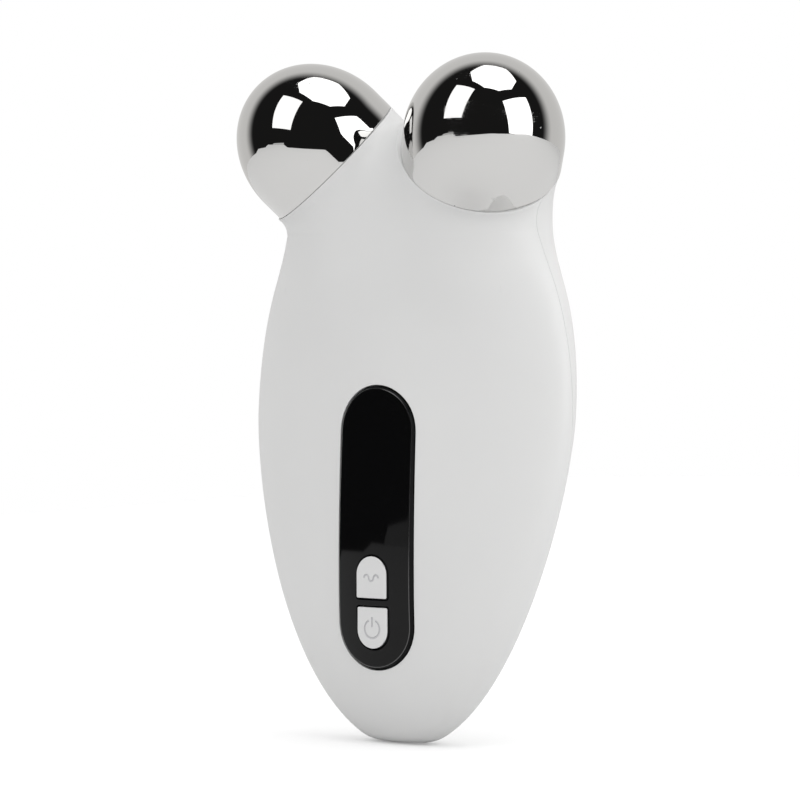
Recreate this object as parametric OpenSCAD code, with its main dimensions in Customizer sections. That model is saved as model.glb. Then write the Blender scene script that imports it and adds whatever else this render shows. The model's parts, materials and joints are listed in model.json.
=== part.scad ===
// Facial toning device: an egg-shaped handle with two horns, each with a
// free-running metal roller. +Z runs along the handle from the tail, -Y is the
// front with the display panel, and the origin is the centre of the tail's flat.

/* [Body] */
// Greatest width of the handle
body_w = 59.4; // [56:0.2:64]
// Depth of the handle, front to back, at its widest
handle_depth = 16.8; // [16.4:0.1:20]
// Height of the widest place above the tail's flat
belly_z = 51; // [49:0.5:54]
// Height of the egg's crown above the widest place
crown_h = 40.7; // [39:0.1:42]
// How far the egg would run on below the tail's flat
tail_over = 0.94; // [0.8:0.02:1.2]
// Power of the egg's curve towards the tail
tail_fullness = 1.56; // [1.5:0.02:1.8]
// Power of the egg's curve towards the crown
head_fullness = 2.26; // [2:0.02:2.5]
// Share by which the section gains depth at the tail
tail_flare = 0.62; // [0.5:0.02:0.8]
// Share by which the section gains depth at the crown
head_flare = 1.15; // [1:0.05:1.3]
// Half of the distance that the spine sways back from tail to crown
sway = 1.91; // [1.6:0.05:2.1]
// Height at which the sway starts
sway_low = 4.9; // [4:0.1:6]
// Height at which the sway ends
sway_high = 78.5; // [74:0.5:82]
// Height of the keel along the front's middle, which carries the panel
keel_h = 1.1; // [0.8:0.05:1.3]
// Half width of the keel at the buttons
keel_w = 4; // [3.6:0.2:5]
// Gain of the keel's half width for each millimetre of height
keel_spread = 0.27; // [0.2:0.01:0.32]
// Height at which the keel starts, under the tail
keel_low = -10; // [-14:1:-6]
// Height at which the keel is full
keel_full = 45; // [42:1:48]
// Height at which the keel starts to fade
keel_fade = 58; // [56:1:62]
// Height at which the keel ends
keel_high = 84; // [80:1:86]
// Distance of the parting plane behind the tail's centre
part_y = 2.5; // [2.3:0.1:2.7]
// Wall of the shells
wall = 1.8; // [1.6:0.1:2]
// Thickness of the tail's floor
floor_t = 2; // [1.8:0.1:2.4]

/* [Horns] */
// Distance of a roller seat's centre from the middle plane
seat_x = 13.9; // [13.5:0.1:14.4]
// Distance of a roller seat's centre behind the tail's centre
seat_y = 1.35; // [1:0.05:1.7]
// Height of a roller seat's centre
seat_z = 90.1; // [89:0.1:91.5]
// Angle of a horn outwards
splay = 35.3; // [33:0.1:37]
// Angle of a horn forwards
lean = 31.6; // [30:0.1:33]
// Radius of the bend in which a horn turns into the handle
bend_r = 16; // [14:0.5:18]
// Length of a horn below its bend
stub_l = 4; // [3:0.5:5]
// Loss of horn radius for each millimetre away from the seat
horn_taper = 0.14; // [0.1:0.01:0.18]
// Size of the blend between the two horns
saddle_blend = 11; // [10:0.5:12]
// Size of the blend between horns and handle
neck_blend = 6; // [5:0.5:7]
// Wall between a horn's cavity and its roller seat
seat_wall = 2.4; // [2:0.1:2.8]

/* [Rollers] */
// Diameter of a roller
roller_d = 24.7; // [24:0.1:25]
// Height of a roller's domed end
dome_h = 13.7; // [13.2:0.1:14.4]
// Height of a roller's straight skirt, from the seat
skirt_h = 3.4; // [3:0.1:3.8]
// Wall of a roller's metal shell
roller_wall = 0.8; // [0.6:0.1:1]
// Gap between a roller's rim and its seat
rim_gap = 0.35; // [0.3:0.05:0.5]
// Diameter of the hub's tube
hub_d = 9.2; // [8.8:0.1:10]
// Thickness of the hub's disc
hub_disc_t = 1.8; // [1.4:0.1:2.2]
// Length of a bush
bush_l = 3; // [2.5:0.1:3.5]
// Outer diameter of a bush
bush_d = 6; // [5.6:0.1:6.4]

/* [Axles] */
// Diameter of an axle
axle_d = 4; // [3.8:0.1:4.2]
// Length of the axle outside the seat
axle_out = 11.6; // [11:0.1:12]
// Length of the axle inside the horn
axle_in = 6; // [5.8:0.1:6.4]
// Diameter of the axle's collar
collar_d = 6.4; // [6.2:0.1:7]
// Thickness of the axle's collar
collar_t = 0.8; // [0.6:0.1:1]
// Width across the flats of the axle's nut
nut_w = 7; // [6.6:0.1:7.4]
// Thickness of the axle's nut
nut_t = 2; // [1.8:0.1:2.4]
// Thickness of a lead tag
tag_t = 0.4; // [0.3:0.1:0.5]
// Running clearance of an axle in its bushes
run_clear = 0.04; // [0.02:0.01:0.08]
// Clearance of fixed pieces that fit in each other
fit_clear = 0.05; // [0.03:0.01:0.1]

/* [Panel] */
// Width of the display lens
lens_w = 14; // [13:0.1:15]
// Length of the display lens
lens_l = 43.5; // [42:0.1:44.5]
// Height of the lens's centre
lens_z = 33.5; // [33:0.1:34.5]
// Thickness of the lens
lens_t = 1.7; // [1.5:0.1:1.8]
// How far the lens stands proud of the body
lens_proud = 0.25; // [0.2:0.05:0.4]
// How much the lens bulges between its two long sides
lens_crown = 0.7; // [0.4:0.05:0.8]
// Width of the ledge under the lens's edge
ledge_w = 1.3; // [1:0.1:1.5]
// Thickness of the ledge
ledge_t = 1.2; // [1:0.1:1.4]
// Thickness of the tape under the lens
tape_t = 0.2; // [0.1:0.05:0.3]
// Width of the display window
window_w = 10.4; // [9.6:0.1:10.8]
// Height of the display window
window_h = 12.4; // [11.8:0.1:13]
// Height of the display window's centre
window_z = 42.7; // [42:0.1:43.2]

/* [Buttons] */
// Width of both buttons
button_w = 5.6; // [5.3:0.1:6]
// Height of the mode button
mode_h = 6.4; // [6:0.1:6.8]
// Height of the power button
power_h = 6.3; // [6:0.1:6.8]
// Distance between the two buttons
button_gap = 1.4; // [1.2:0.1:1.6]
// Height of the bar between the buttons
button_z = 22.1; // [21.6:0.1:22.6]
// How far a button stands proud of the lens
button_proud = 0.2; // [0.1:0.05:0.4]
// Clearance round a button in the lens
button_clear = 0.15; // [0.1:0.05:0.2]
// Travel of a button
travel = 0.35; // [0.25:0.05:0.4]
// Width of the flange behind a button
flange_w = 0.5; // [0.4:0.05:0.6]
// Thickness of the flange behind a button
flange_t = 0.6; // [0.5:0.05:0.7]
// Diameter of the post behind a button
post_d = 2.4; // [2:0.1:3]
// Width of the groove that marks a button
mark_w = 0.3; // [0.2:0.05:0.4]
// Depth of the groove that marks a button
mark_t = 0.15; // [0.1:0.05:0.2]

/* [Electronics] */
// Thickness of the main board
board_t = 1; // [0.8:0.1:1.2]
// Width of the main board
board_w = 21; // [20:0.5:23]
// Lower end of the main board
board_low = 5.6; // [5.4:0.1:6]
// Upper end of the main board
board_high = 56; // [55:0.5:57]
// Width of a key switch
switch_w = 4.5; // [4:0.1:5]
// Height of a key switch above the board
switch_t = 1.5; // [1.4:0.1:1.6]
// Diameter of a switch plunger
plunger_d = 1.6; // [1.4:0.1:2]
// Thickness of the display module
display_t = 1.9; // [1.7:0.1:2]
// Width of the charge socket
socket_w = 8.9; // [8.6:0.1:9]
// Height of the charge socket
socket_h = 3.2; // [3:0.1:3.3]
// Length of the charge socket
socket_l = 7.3; // [7:0.1:7.6]
// Distance of the socket's mouth behind the tail's flat
socket_in = 0.5; // [0.4:0.1:0.8]
// Metal thickness of the charge socket
socket_wall = 0.3; // [0.25:0.05:0.35]
// Width of the battery
battery_w = 26; // [22:0.5:27]
// Length of the battery
battery_l = 22; // [20:0.5:22.5]
// Thickness of the battery
battery_t = 5; // [4.4:0.1:5.2]
// Lower end of the battery
battery_z = 58.5; // [58:0.1:59]
// Distance of the battery's front face behind the tail's centre
battery_y = 3.2; // [3:0.1:3.4]
// Thickness of the battery's foam tape
foam_t = 0.8; // [0.6:0.1:1]
// Diameter of a lead
lead_d = 1; // [0.8:0.1:1.2]
// Thread diameter of the case screws
case_screw_d = 2; // [1.8:0.1:2.2]
// Thread diameter of the board screws
board_screw_d = 1.6; // [1.4:0.1:1.8]

/* [Mesh] */
// Rows of facets along the handle
rows = 48; // [40:2:60]
// Columns of facets across the outside of one shell
columns = 32; // [28:2:40]
// Columns of facets across the inside of one shell
inner_columns = 18; // [14:2:20]

/* [Hidden] */
$fn = 96;
left = -1;
right = 1;
front = -1;
rear = 1;

body_colour = [0.84, 0.84, 0.83];
black_colour = [0.05, 0.05, 0.055];
button_colour = [0.86, 0.86, 0.85];
chrome_colour = [0.62, 0.63, 0.65];
steel_colour = [0.55, 0.56, 0.58];
board_colour = [0.05, 0.32, 0.18];
chip_colour = [0.1, 0.1, 0.11];
copper_colour = [0.72, 0.45, 0.2];
cell_colour = [0.72, 0.74, 0.77];
rubber_colour = [0.3, 0.3, 0.32];

// ---- the body's outer surface, as a field that is negative inside ----

function clamp(v, low, high) = min(max(v, low), high);
function unit(v) = v / norm(v);
function smooth_min(a, b, k) = let (h = max(k - abs(a - b), 0) / k) min(a, b) - h * h * k / 4;

function spine_y(z) =
    sway * (1 - cos(180 * clamp((z - sway_low) / (sway_high - sway_low), 0, 1)));
function end_length(z) = z < belly_z ? belly_z + tail_over : crown_h;
function end_share(z) = abs(z - belly_z) / end_length(z);
function end_power(z) = z < belly_z ? tail_fullness : head_fullness;
function section_depth(z) = handle_depth / 2
    * (1 + (z < belly_z ? tail_flare : head_flare) * pow(min(end_share(z), 1), 2));
function ease(low, high, z) = let (t = clamp((z - low) / (high - low), 0, 1)) t * t * (3 - 2 * t);
function keel_reach(z) = max(keel_w * 0.8, keel_w + keel_spread * (z - button_z));
function keel(x, z) = keel_h * ease(keel_low, keel_full, z) * (1 - ease(keel_fade, keel_high, z))
    * exp(-pow(x / keel_reach(z), 2));
function front_depth(x, z) = section_depth(z) + keel(x, z);
function egg(p) = let (
        a = body_w / 2,
        y = p.y - spine_y(p.z),
        b = y < 0 ? front_depth(p.x, p.z) : section_depth(p.z),
        u = end_share(p.z),
        k0 = norm([p.x / a, y / b, pow(u, end_power(p.z) / 2)]) + 1e-9,
        k1 = norm([p.x / a / a, y / b / b, u / end_length(p.z)]) + 1e-9
    ) k0 * (k0 - 1) / k1;
// how full the egg is at a place seen from the front
function fullness(x, z) =
    sqrt(max(0, 1 - pow(end_share(z), end_power(z)) - pow(2 * x / body_w, 2)));
function front_y(x, z) = spine_y(z) - front_depth(x, z) * fullness(x, z);
function rear_y(x, z) = spine_y(z) + section_depth(z) * fullness(x, z);

seat = [seat_x, seat_y, seat_z];
horn_axis = [sin(splay) * cos(lean), -sin(lean), cos(splay) * cos(lean)];
bend_in = unit(horn_axis * horn_axis.z - [0, 0, 1]);
bend_side = cross(horn_axis, bend_in);
bend_angle = acos(horn_axis.z);
bend_centre = seat + bend_in * bend_r;
bend_end = bend_centre - bend_r * (cos(bend_angle) * bend_in + sin(bend_angle) * horn_axis);
seat_r = roller_d / 2;
horn_over = 4;

// distance from the bent, tapered horn on the right
function horn(p) = let (
        v = p - bend_centre,
        along_in = -(v * bend_in),
        along_axis = -(v * horn_axis),
        turn = atan2(along_axis, along_in),
        up = clamp((p - seat) * horn_axis, 0, horn_over),
        down = clamp(bend_end.z - p.z, 0, stub_l),
        far = turn < 0 ? norm(p - seat - up * horn_axis)
            : turn > bend_angle ? norm(p - bend_end + [0, 0, down])
            : norm([norm([along_in, along_axis]) - bend_r, v * bend_side]),
        run = turn < 0 ? 0
            : turn > bend_angle ? bend_angle * PI / 180 * bend_r + down
            : turn * PI / 180 * bend_r
    ) far - seat_r + horn_taper * run;
function outside(p) = smooth_min(egg(p),
    smooth_min(horn(p), horn([-p.x, p.y, p.z]), saddle_blend), neck_blend);
function over_seat(p) = (([abs(p.x), p.y, p.z]) - seat) * horn_axis;
function cavity(p) = max(outside(p) + wall, floor_t - p.z, over_seat(p) + seat_wall);

// ---- rays from the parting plane's middle line out to the surface ----

fan_low = 18;
fan_high = 77;
tail_rows = 0.2;
crown_rows = 0.36;
ray_flatness = 0.4;
march = 3;
halvings = 15;

function ray_z(v) = fan_low + (fan_high - fan_low)
    * clamp((v - tail_rows) / (1 - tail_rows - crown_rows), 0, 1);
function ray_tilt(v) = v < tail_rows ? -90 * (1 - v / tail_rows)
    : v > 1 - crown_rows ? 90 * (v - 1 + crown_rows) / crown_rows
    : 0;
function ray_turn(w) = atan2(ray_flatness * sin(w), cos(w));
function ray_start(v) = [0, part_y, ray_z(v)];
function ray_way(v, w) = let (e = ray_tilt(v), t = ray_turn(w))
    [cos(e) * cos(t), cos(e) * sin(t), sin(e)];
function field(p, inner) = inner ? cavity(p) : outside(p);
function first_out(o, d, r, inner) =
    r > 60 || field(o + r * d, inner) > 0 ? r : first_out(o, d, r + march, inner);
function halve(o, d, low, high, n, inner) = let (m = (low + high) / 2)
    n == 0 ? m
    : field(o + m * d, inner) < 0 ? halve(o, d, m, high, n - 1, inner)
    : halve(o, d, low, m, n - 1, inner);
function skin(v, w, inner) = let (
        o = ray_start(v),
        d = ray_way(v, w),
        high = first_out(o, d, march, inner)
    ) o + d * halve(o, d, high - march, high, halvings, inner);

// points of one half: the tail pole, the rows between the poles, the crown pole
function half_points(side, count, inner) = concat(
    [skin(0, 0, inner)],
    [for (i = [1:rows - 1]) for (j = [0:count])
        let (p = skin(i / rows, side * (180 - 180 * j / count), inner))
        j == 0 || j == count ? [p.x, part_y, p.z] : p],
    [skin(1, 0, inner)]);
function half_faces(count, from, flip) = let (
        at = function(i, j) from + 1 + (i - 1) * (count + 1) + j,
        top = from + 1 + (rows - 1) * (count + 1),
        tris = concat(
            [for (j = [0:count - 1]) [from, at(1, j), at(1, j + 1)]],
            [for (i = [1:rows - 2]) for (j = [0:count - 1]) each [
                [at(i, j), at(i + 1, j), at(i + 1, j + 1)],
                [at(i, j), at(i + 1, j + 1), at(i, j + 1)]]],
            [for (j = [0:count - 1]) [top, at(rows - 1, j + 1), at(rows - 1, j)]])
    ) [for (t = tris) flip ? [t[0], t[2], t[1]] : t];
// the edge of one half in the parting plane, once round
function half_edge(count, from) = let (
        at = function(i, j) from + 1 + (i - 1) * (count + 1) + j,
        top = from + 1 + (rows - 1) * (count + 1)
    ) concat([from], [for (i = [1:rows - 1]) at(i, 0)], [top],
        [for (i = [rows - 1:-1:1]) at(i, count)]);

// one half of the body's wall, closed along the parting plane
module half_wall(side) {
    outer = half_points(side, columns, false);
    inner = half_points(side, inner_columns, true);
    shift = len(outer);
    flip = side == rear;
    ring = half_edge(columns, 0);
    inner_ring = half_edge(inner_columns, shift);
    n = len(ring);
    strip = [for (k = [0:n - 1]) let (m = (k + 1) % n) each [
        [ring[k], inner_ring[k], inner_ring[m]],
        [ring[k], inner_ring[m], ring[m]]]];
    polyhedron(
        points = concat(outer, inner),
        faces = concat(
            half_faces(columns, 0, flip),
            half_faces(inner_columns, shift, !flip),
            [for (t = strip) flip ? [t[0], t[2], t[1]] : t]),
        convexity = 10);
}

// ---- placing ----

module on_horn(side) {
    translate([side * seat_x, seat_y, seat_z])
        rotate([0, side * splay, 0])
            rotate([lean, 0, 0])
                children();
}
// extrudes an outline drawn as seen from the front, from y0 back to y1
module from_front(y0, y1) {
    translate([0, y1, 0])
        rotate([90, 0, 0])
            linear_extrude(y1 - y0)
                children();
}
module rod_y(x, z, y0, y1, d) {
    translate([x, y1, z])
        rotate([90, 0, 0])
            cylinder(h = y1 - y0, d = d);
}
module ring_y(x, z, y0, y1, d, hole) {
    difference() {
        rod_y(x, z, y0, y1, d);
        rod_y(x, z, y0 - 1, y1 + 1, hole);
    }
}
module box(x0, x1, y0, y1, z0, z1) {
    translate([x0, y0, z0])
        cube([x1 - x0, y1 - y0, z1 - z0]);
}
module obround(w, h) {
    reach = (h - w) / 2;
    square([w, 2 * reach], center = true);
    for (s = [-1, 1])
        translate([0, s * reach])
            circle(d = w);
}
// an outline as a layer that follows the egg's front, between two depths behind it
layer_steps = 24;
layer_w = 24;
module front_layer(y0, y1) {
    low = lens_z - lens_l / 2 - 3;
    high = lens_z + lens_l / 2 + 3;
    zs = [for (k = [0:layer_steps]) low + (high - low) * k / layer_steps];
    intersection() {
        translate([-layer_w / 2, 0, 0])
            rotate([90, 0, 90])
                linear_extrude(layer_w)
                    polygon(concat(
                        [for (z = zs) [front_y(0, z) + y0, z]],
                        [for (k = [layer_steps:-1:0]) [front_y(0, zs[k]) + y1, zs[k]]]));
        from_front(-20, part_y)
            children();
    }
}
module lens_outline(grow) {
    translate([0, lens_z])
        obround(lens_w + 2 * grow, lens_l + 2 * grow);
}
module window_outline() {
    translate([0, window_z])
        square([window_w, window_h], center = true);
}

// ---- sizes that follow from the ones above ----

lens_back = lens_t - lens_proud;
ledge_front = lens_back + tape_t;
ledge_back = ledge_front + ledge_t;
pocket_clear = 0.1;
// how far the ledge reaches into the pocket before the pocket is cut
ledge_over = 0.4;
socket_r = socket_h / 2;
board_back = -socket_r - fit_clear;
board_front = board_back - board_t;
mode_low = button_z + button_gap / 2;
mode_high = mode_low + mode_h;
power_high = button_z - button_gap / 2;
power_low = power_high - power_h;
// the buttons' round ends shift their centres of area
centre_shift = 0.1;
mode_mid = (mode_low + mode_high) / 2 - centre_shift;
power_mid = (power_low + power_high) / 2 + centre_shift;
flange_gap = 0.15;
screw_low_z = 33.6;
screw_high_z = 52.2;
case_screw_zs = [screw_low_z, screw_high_z];
board_screw_x = 8.4;
board_screw_z = 42;
board_screw_l = 2;
head_t = 1;
head_d = 3.2;
head_clear = 0.1;
boss_d = 5;
boss_wall = 1.4;
sunk = 0.6;
dowel_x = 18.5;
dowel_z = 70;
dowel_d = 2;
dowel_l = 2.5;
dowel_wall = 1;
dowel_sunk = 1;
// room past the ends of the board screws and of the dowels
blind = 0.4;
// depth of the case screws' heads in the panel's floor
head_sunk = 1.2;

function lens_face_y(x, z) = front_y(0, z) - lens_proud + lens_crown * pow(2 * x / lens_w, 2);
function head_rest(z) = front_y(0, z) + ledge_front + head_sunk;
mode_face = lens_face_y(0, mode_mid) - button_proud;
power_face = lens_face_y(0, power_mid) - button_proud;

// ---- shells ----

module seat_cuts() {
    for (side = [left, right])
        on_horn(side)
            translate([-30, -30, 0])
                cube([60, 60, 30]);
}
module axle_holes() {
    for (side = [left, right])
        on_horn(side)
            translate([0, 0, -seat_wall - 2])
                cylinder(h = seat_wall + 4, d = axle_d + 2 * fit_clear);
}
module tail_cut() {
    box(-20, 20, -20, 20, -5, 0);
}
module socket_hole() {
    translate([0, 0, -1])
        linear_extrude(floor_t + 4)
            rotate(90)
                obround(socket_h + 4 * fit_clear, socket_w + 4 * fit_clear);
}
// the window behind both buttons, wide enough for their flanges to move in
window_clear = 0.3;
module button_window_outline() {
    grow = flange_w + window_clear;
    hull_low = power_low - grow;
    hull_high = mode_high + grow;
    translate([0, (hull_low + hull_high) / 2])
        obround(button_w + 2 * grow, hull_high - hull_low);
}
module front_shell() {
    color(body_colour)
        difference() {
            union() {
                half_wall(front);
                front_layer(ledge_front - ledge_over, ledge_back)
                    lens_outline(ledge_w);
                for (z = case_screw_zs)
                    rod_y(0, z, front_y(0, z) + ledge_front, board_front, boss_d);
                for (s = [-1, 1]) {
                    rod_y(s * board_screw_x, board_screw_z,
                        front_y(board_screw_x, board_screw_z) + sunk, board_front,
                        board_screw_d + 2 * boss_wall);
                    rod_y(s * dowel_x, dowel_z, front_y(dowel_x, dowel_z) + dowel_sunk, part_y,
                        dowel_d + 2 * dowel_wall);
                }
            }
            front_layer(-5, ledge_front)
                lens_outline(pocket_clear);
            from_front(-20, board_front - 0.01) {
                window_outline();
                button_window_outline();
            }
            for (z = case_screw_zs) {
                rod_y(0, z, -20, part_y, case_screw_d + 4 * fit_clear);
                rod_y(0, z, -20, head_rest(z), head_d + 2 * head_clear);
            }
            for (s = [-1, 1]) {
                rod_y(s * board_screw_x, board_screw_z, board_front - board_screw_l - blind,
                    part_y, board_screw_d - 2 * fit_clear);
                rod_y(s * dowel_x, dowel_z, part_y - dowel_l - blind, part_y + 1,
                    dowel_d + 2 * fit_clear);
            }
            seat_cuts();
            axle_holes();
            tail_cut();
            socket_hole();
        }
}
battery_back = battery_y + battery_t + foam_t;
rib_w = 1.6;
rib_x = 8;
rib_short = 2;
module rear_shell() {
    color(body_colour)
        difference() {
            union() {
                half_wall(rear);
                for (z = case_screw_zs)
                    rod_y(0, z, board_back, rear_y(0, z) - sunk, boss_d);
                for (s = [-1, 1]) {
                    rod_y(s * dowel_x, dowel_z, part_y, rear_y(dowel_x, dowel_z) - sunk,
                        dowel_d + 2 * dowel_wall);
                    rod_y(s * dowel_x, dowel_z, part_y - dowel_l,
                        rear_y(dowel_x, dowel_z) - sunk, dowel_d);
                    intersection() {
                        box(s * rib_x - rib_w / 2, s * rib_x + rib_w / 2, battery_back,
                            20, battery_z + rib_short, battery_z + battery_l - rib_short);
                        half_fill();
                    }
                }
            }
            for (z = case_screw_zs)
                rod_y(0, z, board_back - 1, part_y + 4, case_screw_d - 2 * fit_clear);
            seat_cuts();
            axle_holes();
            tail_cut();
        }
}
// a block that stays inside the rear wall behind the battery
module half_fill() {
    zs = [battery_z, battery_z + battery_l / 2, battery_z + battery_l];
    rotate([90, 0, 90])
        translate([0, 0, -20])
            linear_extrude(40)
                polygon(concat([for (z = zs) [rear_y(rib_x, z) - sunk, z]],
                    [[0, zs[2]], [0, zs[0]]]));
}

// ---- panel and buttons ----

module mode_outline(grow) {
    w = button_w + 2 * grow;
    translate([0, mode_high + grow - w / 2])
        circle(d = w);
    translate([-w / 2, mode_low - grow])
        square([w, mode_h + 2 * grow - w / 2]);
}
module power_outline(grow) {
    w = button_w + 2 * grow;
    translate([0, power_low - grow + w / 2])
        circle(d = w);
    translate([-w / 2, power_low - grow + w / 2])
        square([w, power_h + 2 * grow - w / 2]);
}
// the lens before it's cut to its outline and its thickness, bulged in front
lens_columns = 12;
lens_rows = 24;
module lens_block() {
    low = lens_z - lens_l / 2 - 1;
    step = (lens_l + 2) / lens_rows;
    side = lens_w / 2 + 1;
    count = lens_columns + 3;
    ring = function(z) concat(
        [for (i = [0:lens_columns]) let (x = side * (2 * i / lens_columns - 1))
            [x, lens_face_y(x, z), z]],
        [for (s = [1, -1]) [s * side, part_y, z]]);
    polyhedron(
        points = [for (j = [0:lens_rows]) each ring(low + j * step)],
        faces = concat(
            [[for (i = [0:count - 1]) i]],
            [for (j = [0:lens_rows - 1]) for (i = [0:count - 1])
                let (a = j * count + i, b = j * count + (i + 1) % count) each [
                [a, a + count, b + count],
                [a, b + count, b]]],
            [[for (i = [count - 1:-1:0]) lens_rows * count + i]]),
        convexity = 4);
}
module display_panel() {
    color(black_colour)
        difference() {
            intersection() {
                lens_block();
                from_front(-20, part_y)
                    lens_outline(0);
            }
            front_layer(lens_back, part_y + 20)
                lens_outline(1);
            from_front(-20, 0) {
                mode_outline(button_clear);
                power_outline(button_clear);
            }
        }
}
module panel_adhesive() {
    color([0.2, 0.2, 0.2])
        difference() {
            front_layer(lens_back, ledge_front)
                lens_outline(0);
            from_front(-20, 0) {
                window_outline();
                button_window_outline();
            }
            for (z = case_screw_zs)
                rod_y(0, z, -20, 0, head_d + 4 * head_clear);
        }
}
// the place behind the lens from which a flange between two heights moves freely
function flange_front(low, high) = lens_back + flange_gap
    + max(front_y(0, low - flange_w), front_y(0, high + flange_w));
plunger_out = 0.5;
plunger_front = board_front - switch_t - plunger_out;
post_end = plunger_front - fit_clear;
module button_back(z, y0) {
    rod_y(0, z, y0, post_end, post_d);
}
module mode_button() {
    y = flange_front(mode_low, mode_high);
    color(button_colour)
        difference() {
            union() {
                from_front(mode_face, y + flange_t)
                    mode_outline(0);
                from_front(y, y + flange_t)
                    mode_outline(flange_w);
                button_back(mode_mid, y);
            }
            from_front(mode_face - 1, mode_face + mark_t)
                wave_mark(mode_mid);
        }
}
module power_button() {
    y = flange_front(power_low, power_high);
    color(button_colour)
        difference() {
            union() {
                from_front(power_face, y + flange_t)
                    power_outline(0);
                from_front(y, y + flange_t)
                    power_outline(flange_w);
                button_back(power_mid, y);
            }
            from_front(power_face - 1, power_face + mark_t)
                ring_mark(power_mid - mark_shift);
        }
}
// the mode mark: one and a half periods of a pulse, in half rings
wave_r = 0.45;
module wave_mark(z) {
    for (k = [-1, 0, 1])
        translate([2 * k * wave_r, z])
            intersection() {
                difference() {
                    circle(r = wave_r + mark_w / 2);
                    circle(r = wave_r - mark_w / 2);
                }
                translate([-wave_r - mark_w, k == 0 ? -2 * wave_r : 0])
                    square([2 * (wave_r + mark_w), 2 * wave_r]);
            }
}
// the switch mark: an open ring with a stroke in its gap
ring_mark_r = 1.4;
ring_gap_w = 0.87;
stroke_low = 0.3;
stroke_l = 1.5;
// how far the switch mark sits under its button's middle
mark_shift = 0.25;
module ring_mark(z) {
    translate([0, z]) {
        difference() {
            circle(r = ring_mark_r + mark_w / 2);
            circle(r = ring_mark_r - mark_w / 2);
            polygon([for (p = [[0, 0], [-ring_gap_w, 2], [ring_gap_w, 2]]) p * ring_mark_r]);
        }
        translate([-mark_w / 2, stroke_low])
            square([mark_w, stroke_l]);
    }
}
// soft frame that seals the button openings against the ledge
seal_t = 0.6;
seal_w = 0.8;
seal_gap = 0.02;
module button_seal() {
    grow = flange_w + window_clear + seal_w;
    color(rubber_colour)
        front_layer(ledge_back + seal_gap, ledge_back + seal_t)
            difference() {
                translate([0, (mode_high + power_low) / 2])
                    obround(button_w + 2 * grow, mode_high - power_low + 2 * grow);
                button_window_outline();
            }
}

// ---- electronics ----

neck_half = 5.2;
neck_top = 12;
shoulder_z = 20;
module board_outline() {
    h = board_w / 2;
    polygon([[-neck_half, board_low], [neck_half, board_low], [neck_half, neck_top],
        [h, shoulder_z], [h, board_high], [-h, board_high], [-h, shoulder_z],
        [-neck_half, neck_top]]);
}
module main_board() {
    color(board_colour)
        difference() {
            from_front(board_front, board_back)
                board_outline();
            for (z = case_screw_zs)
                rod_y(0, z, -10, 10, case_screw_d + 4 * fit_clear);
            for (s = [-1, 1])
                rod_y(s * board_screw_x, board_screw_z, -10, 10, board_screw_d + 4 * fit_clear);
        }
}
module board_screws() {
    color(steel_colour)
        for (s = [-1, 1]) {
            rod_y(s * board_screw_x, board_screw_z, board_front - board_screw_l,
                board_back + head_t, board_screw_d - 2 * fit_clear);
            rod_y(s * board_screw_x, board_screw_z, board_back, board_back + head_t, head_d);
        }
}
case_screw_tip = part_y + 3.6;
module case_screws() {
    color(steel_colour)
        for (z = case_screw_zs) {
            rod_y(0, z, head_rest(z) - head_t, case_screw_tip, case_screw_d - 2 * fit_clear);
            rod_y(0, z, head_rest(z) - head_t, head_rest(z), head_d);
        }
}
// a tact switch, wider than high, with a floor under its plunger's well
switch_trim = 0.3;
switch_floor = 0.3;
switch_spare = 0.1;
module switch_body(z) {
    difference() {
        box(-switch_w / 2, switch_w / 2, board_front - switch_t, board_front,
            z - switch_w / 2 + switch_trim, z + switch_w / 2 - switch_trim);
        rod_y(0, z, board_front - switch_t - 1, board_front - switch_floor,
            plunger_d + 4 * run_clear);
    }
}
module switch_plunger(z) {
    rod_y(0, z, plunger_front, board_front - switch_floor - travel - switch_spare, plunger_d);
}
module mode_switch() {
    color(steel_colour) switch_body(mode_mid);
}
module power_switch() {
    color(steel_colour) switch_body(power_mid);
}
module mode_switch_plunger() {
    color(chip_colour) switch_plunger(mode_mid);
}
module power_switch_plunger() {
    color(chip_colour) switch_plunger(power_mid);
}
module display_module() {
    side_gap = 0.3;
    color([0.12, 0.12, 0.13])
        box(-window_w / 2 + side_gap, window_w / 2 - side_gap, board_front - display_t,
            board_front, window_z - window_h / 2 + side_gap, window_z + window_h / 2 - side_gap);
}
// a part on the board's rear face, from its lower left corner
module on_board(x, z, w, l, t) {
    box(x, x + w, board_back, board_back + t, z, z + l);
}
control_w = 7;
control_t = 1;
control_z = 20;
module control_chip() {
    color(chip_colour) on_board(-control_w / 2, control_z, control_w, control_w, control_t);
}
charge_w = 4;
charge_t = 1.5;
charge_x = 1.2;
charge_z = 13;
module charge_chip() {
    color(chip_colour) on_board(charge_x, charge_z, charge_w, charge_w, charge_t);
}
coil_w = 5;
coil_t = 3;
coil_x = -9;
coil_z = 47;
module inductor() {
    color([0.25, 0.25, 0.27]) on_board(coil_x, coil_z, coil_w, coil_w, coil_t);
}
capacitor_w = 1.2;
capacitor_l = 2;
capacitor_pitch = 2;
capacitor_x = 4;
capacitor_z = 47.6;
module capacitors() {
    color([0.7, 0.6, 0.4])
        for (k = [0:2])
            on_board(capacitor_x + k * capacitor_pitch, capacitor_z, capacitor_w, capacitor_l,
                capacitor_w);
}
module battery() {
    color(cell_colour)
        from_front(battery_y, battery_y + battery_t)
            translate([-battery_w / 2, battery_z])
                square([battery_w, battery_l]);
}
foam_w = 6;
module battery_tape() {
    color([0.35, 0.35, 0.37])
        for (s = [-1, 1])
            box(s * rib_x - foam_w / 2, s * rib_x + foam_w / 2, battery_y + battery_t,
                battery_back, battery_z + rib_short, battery_z + battery_l - rib_short);
}
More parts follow.
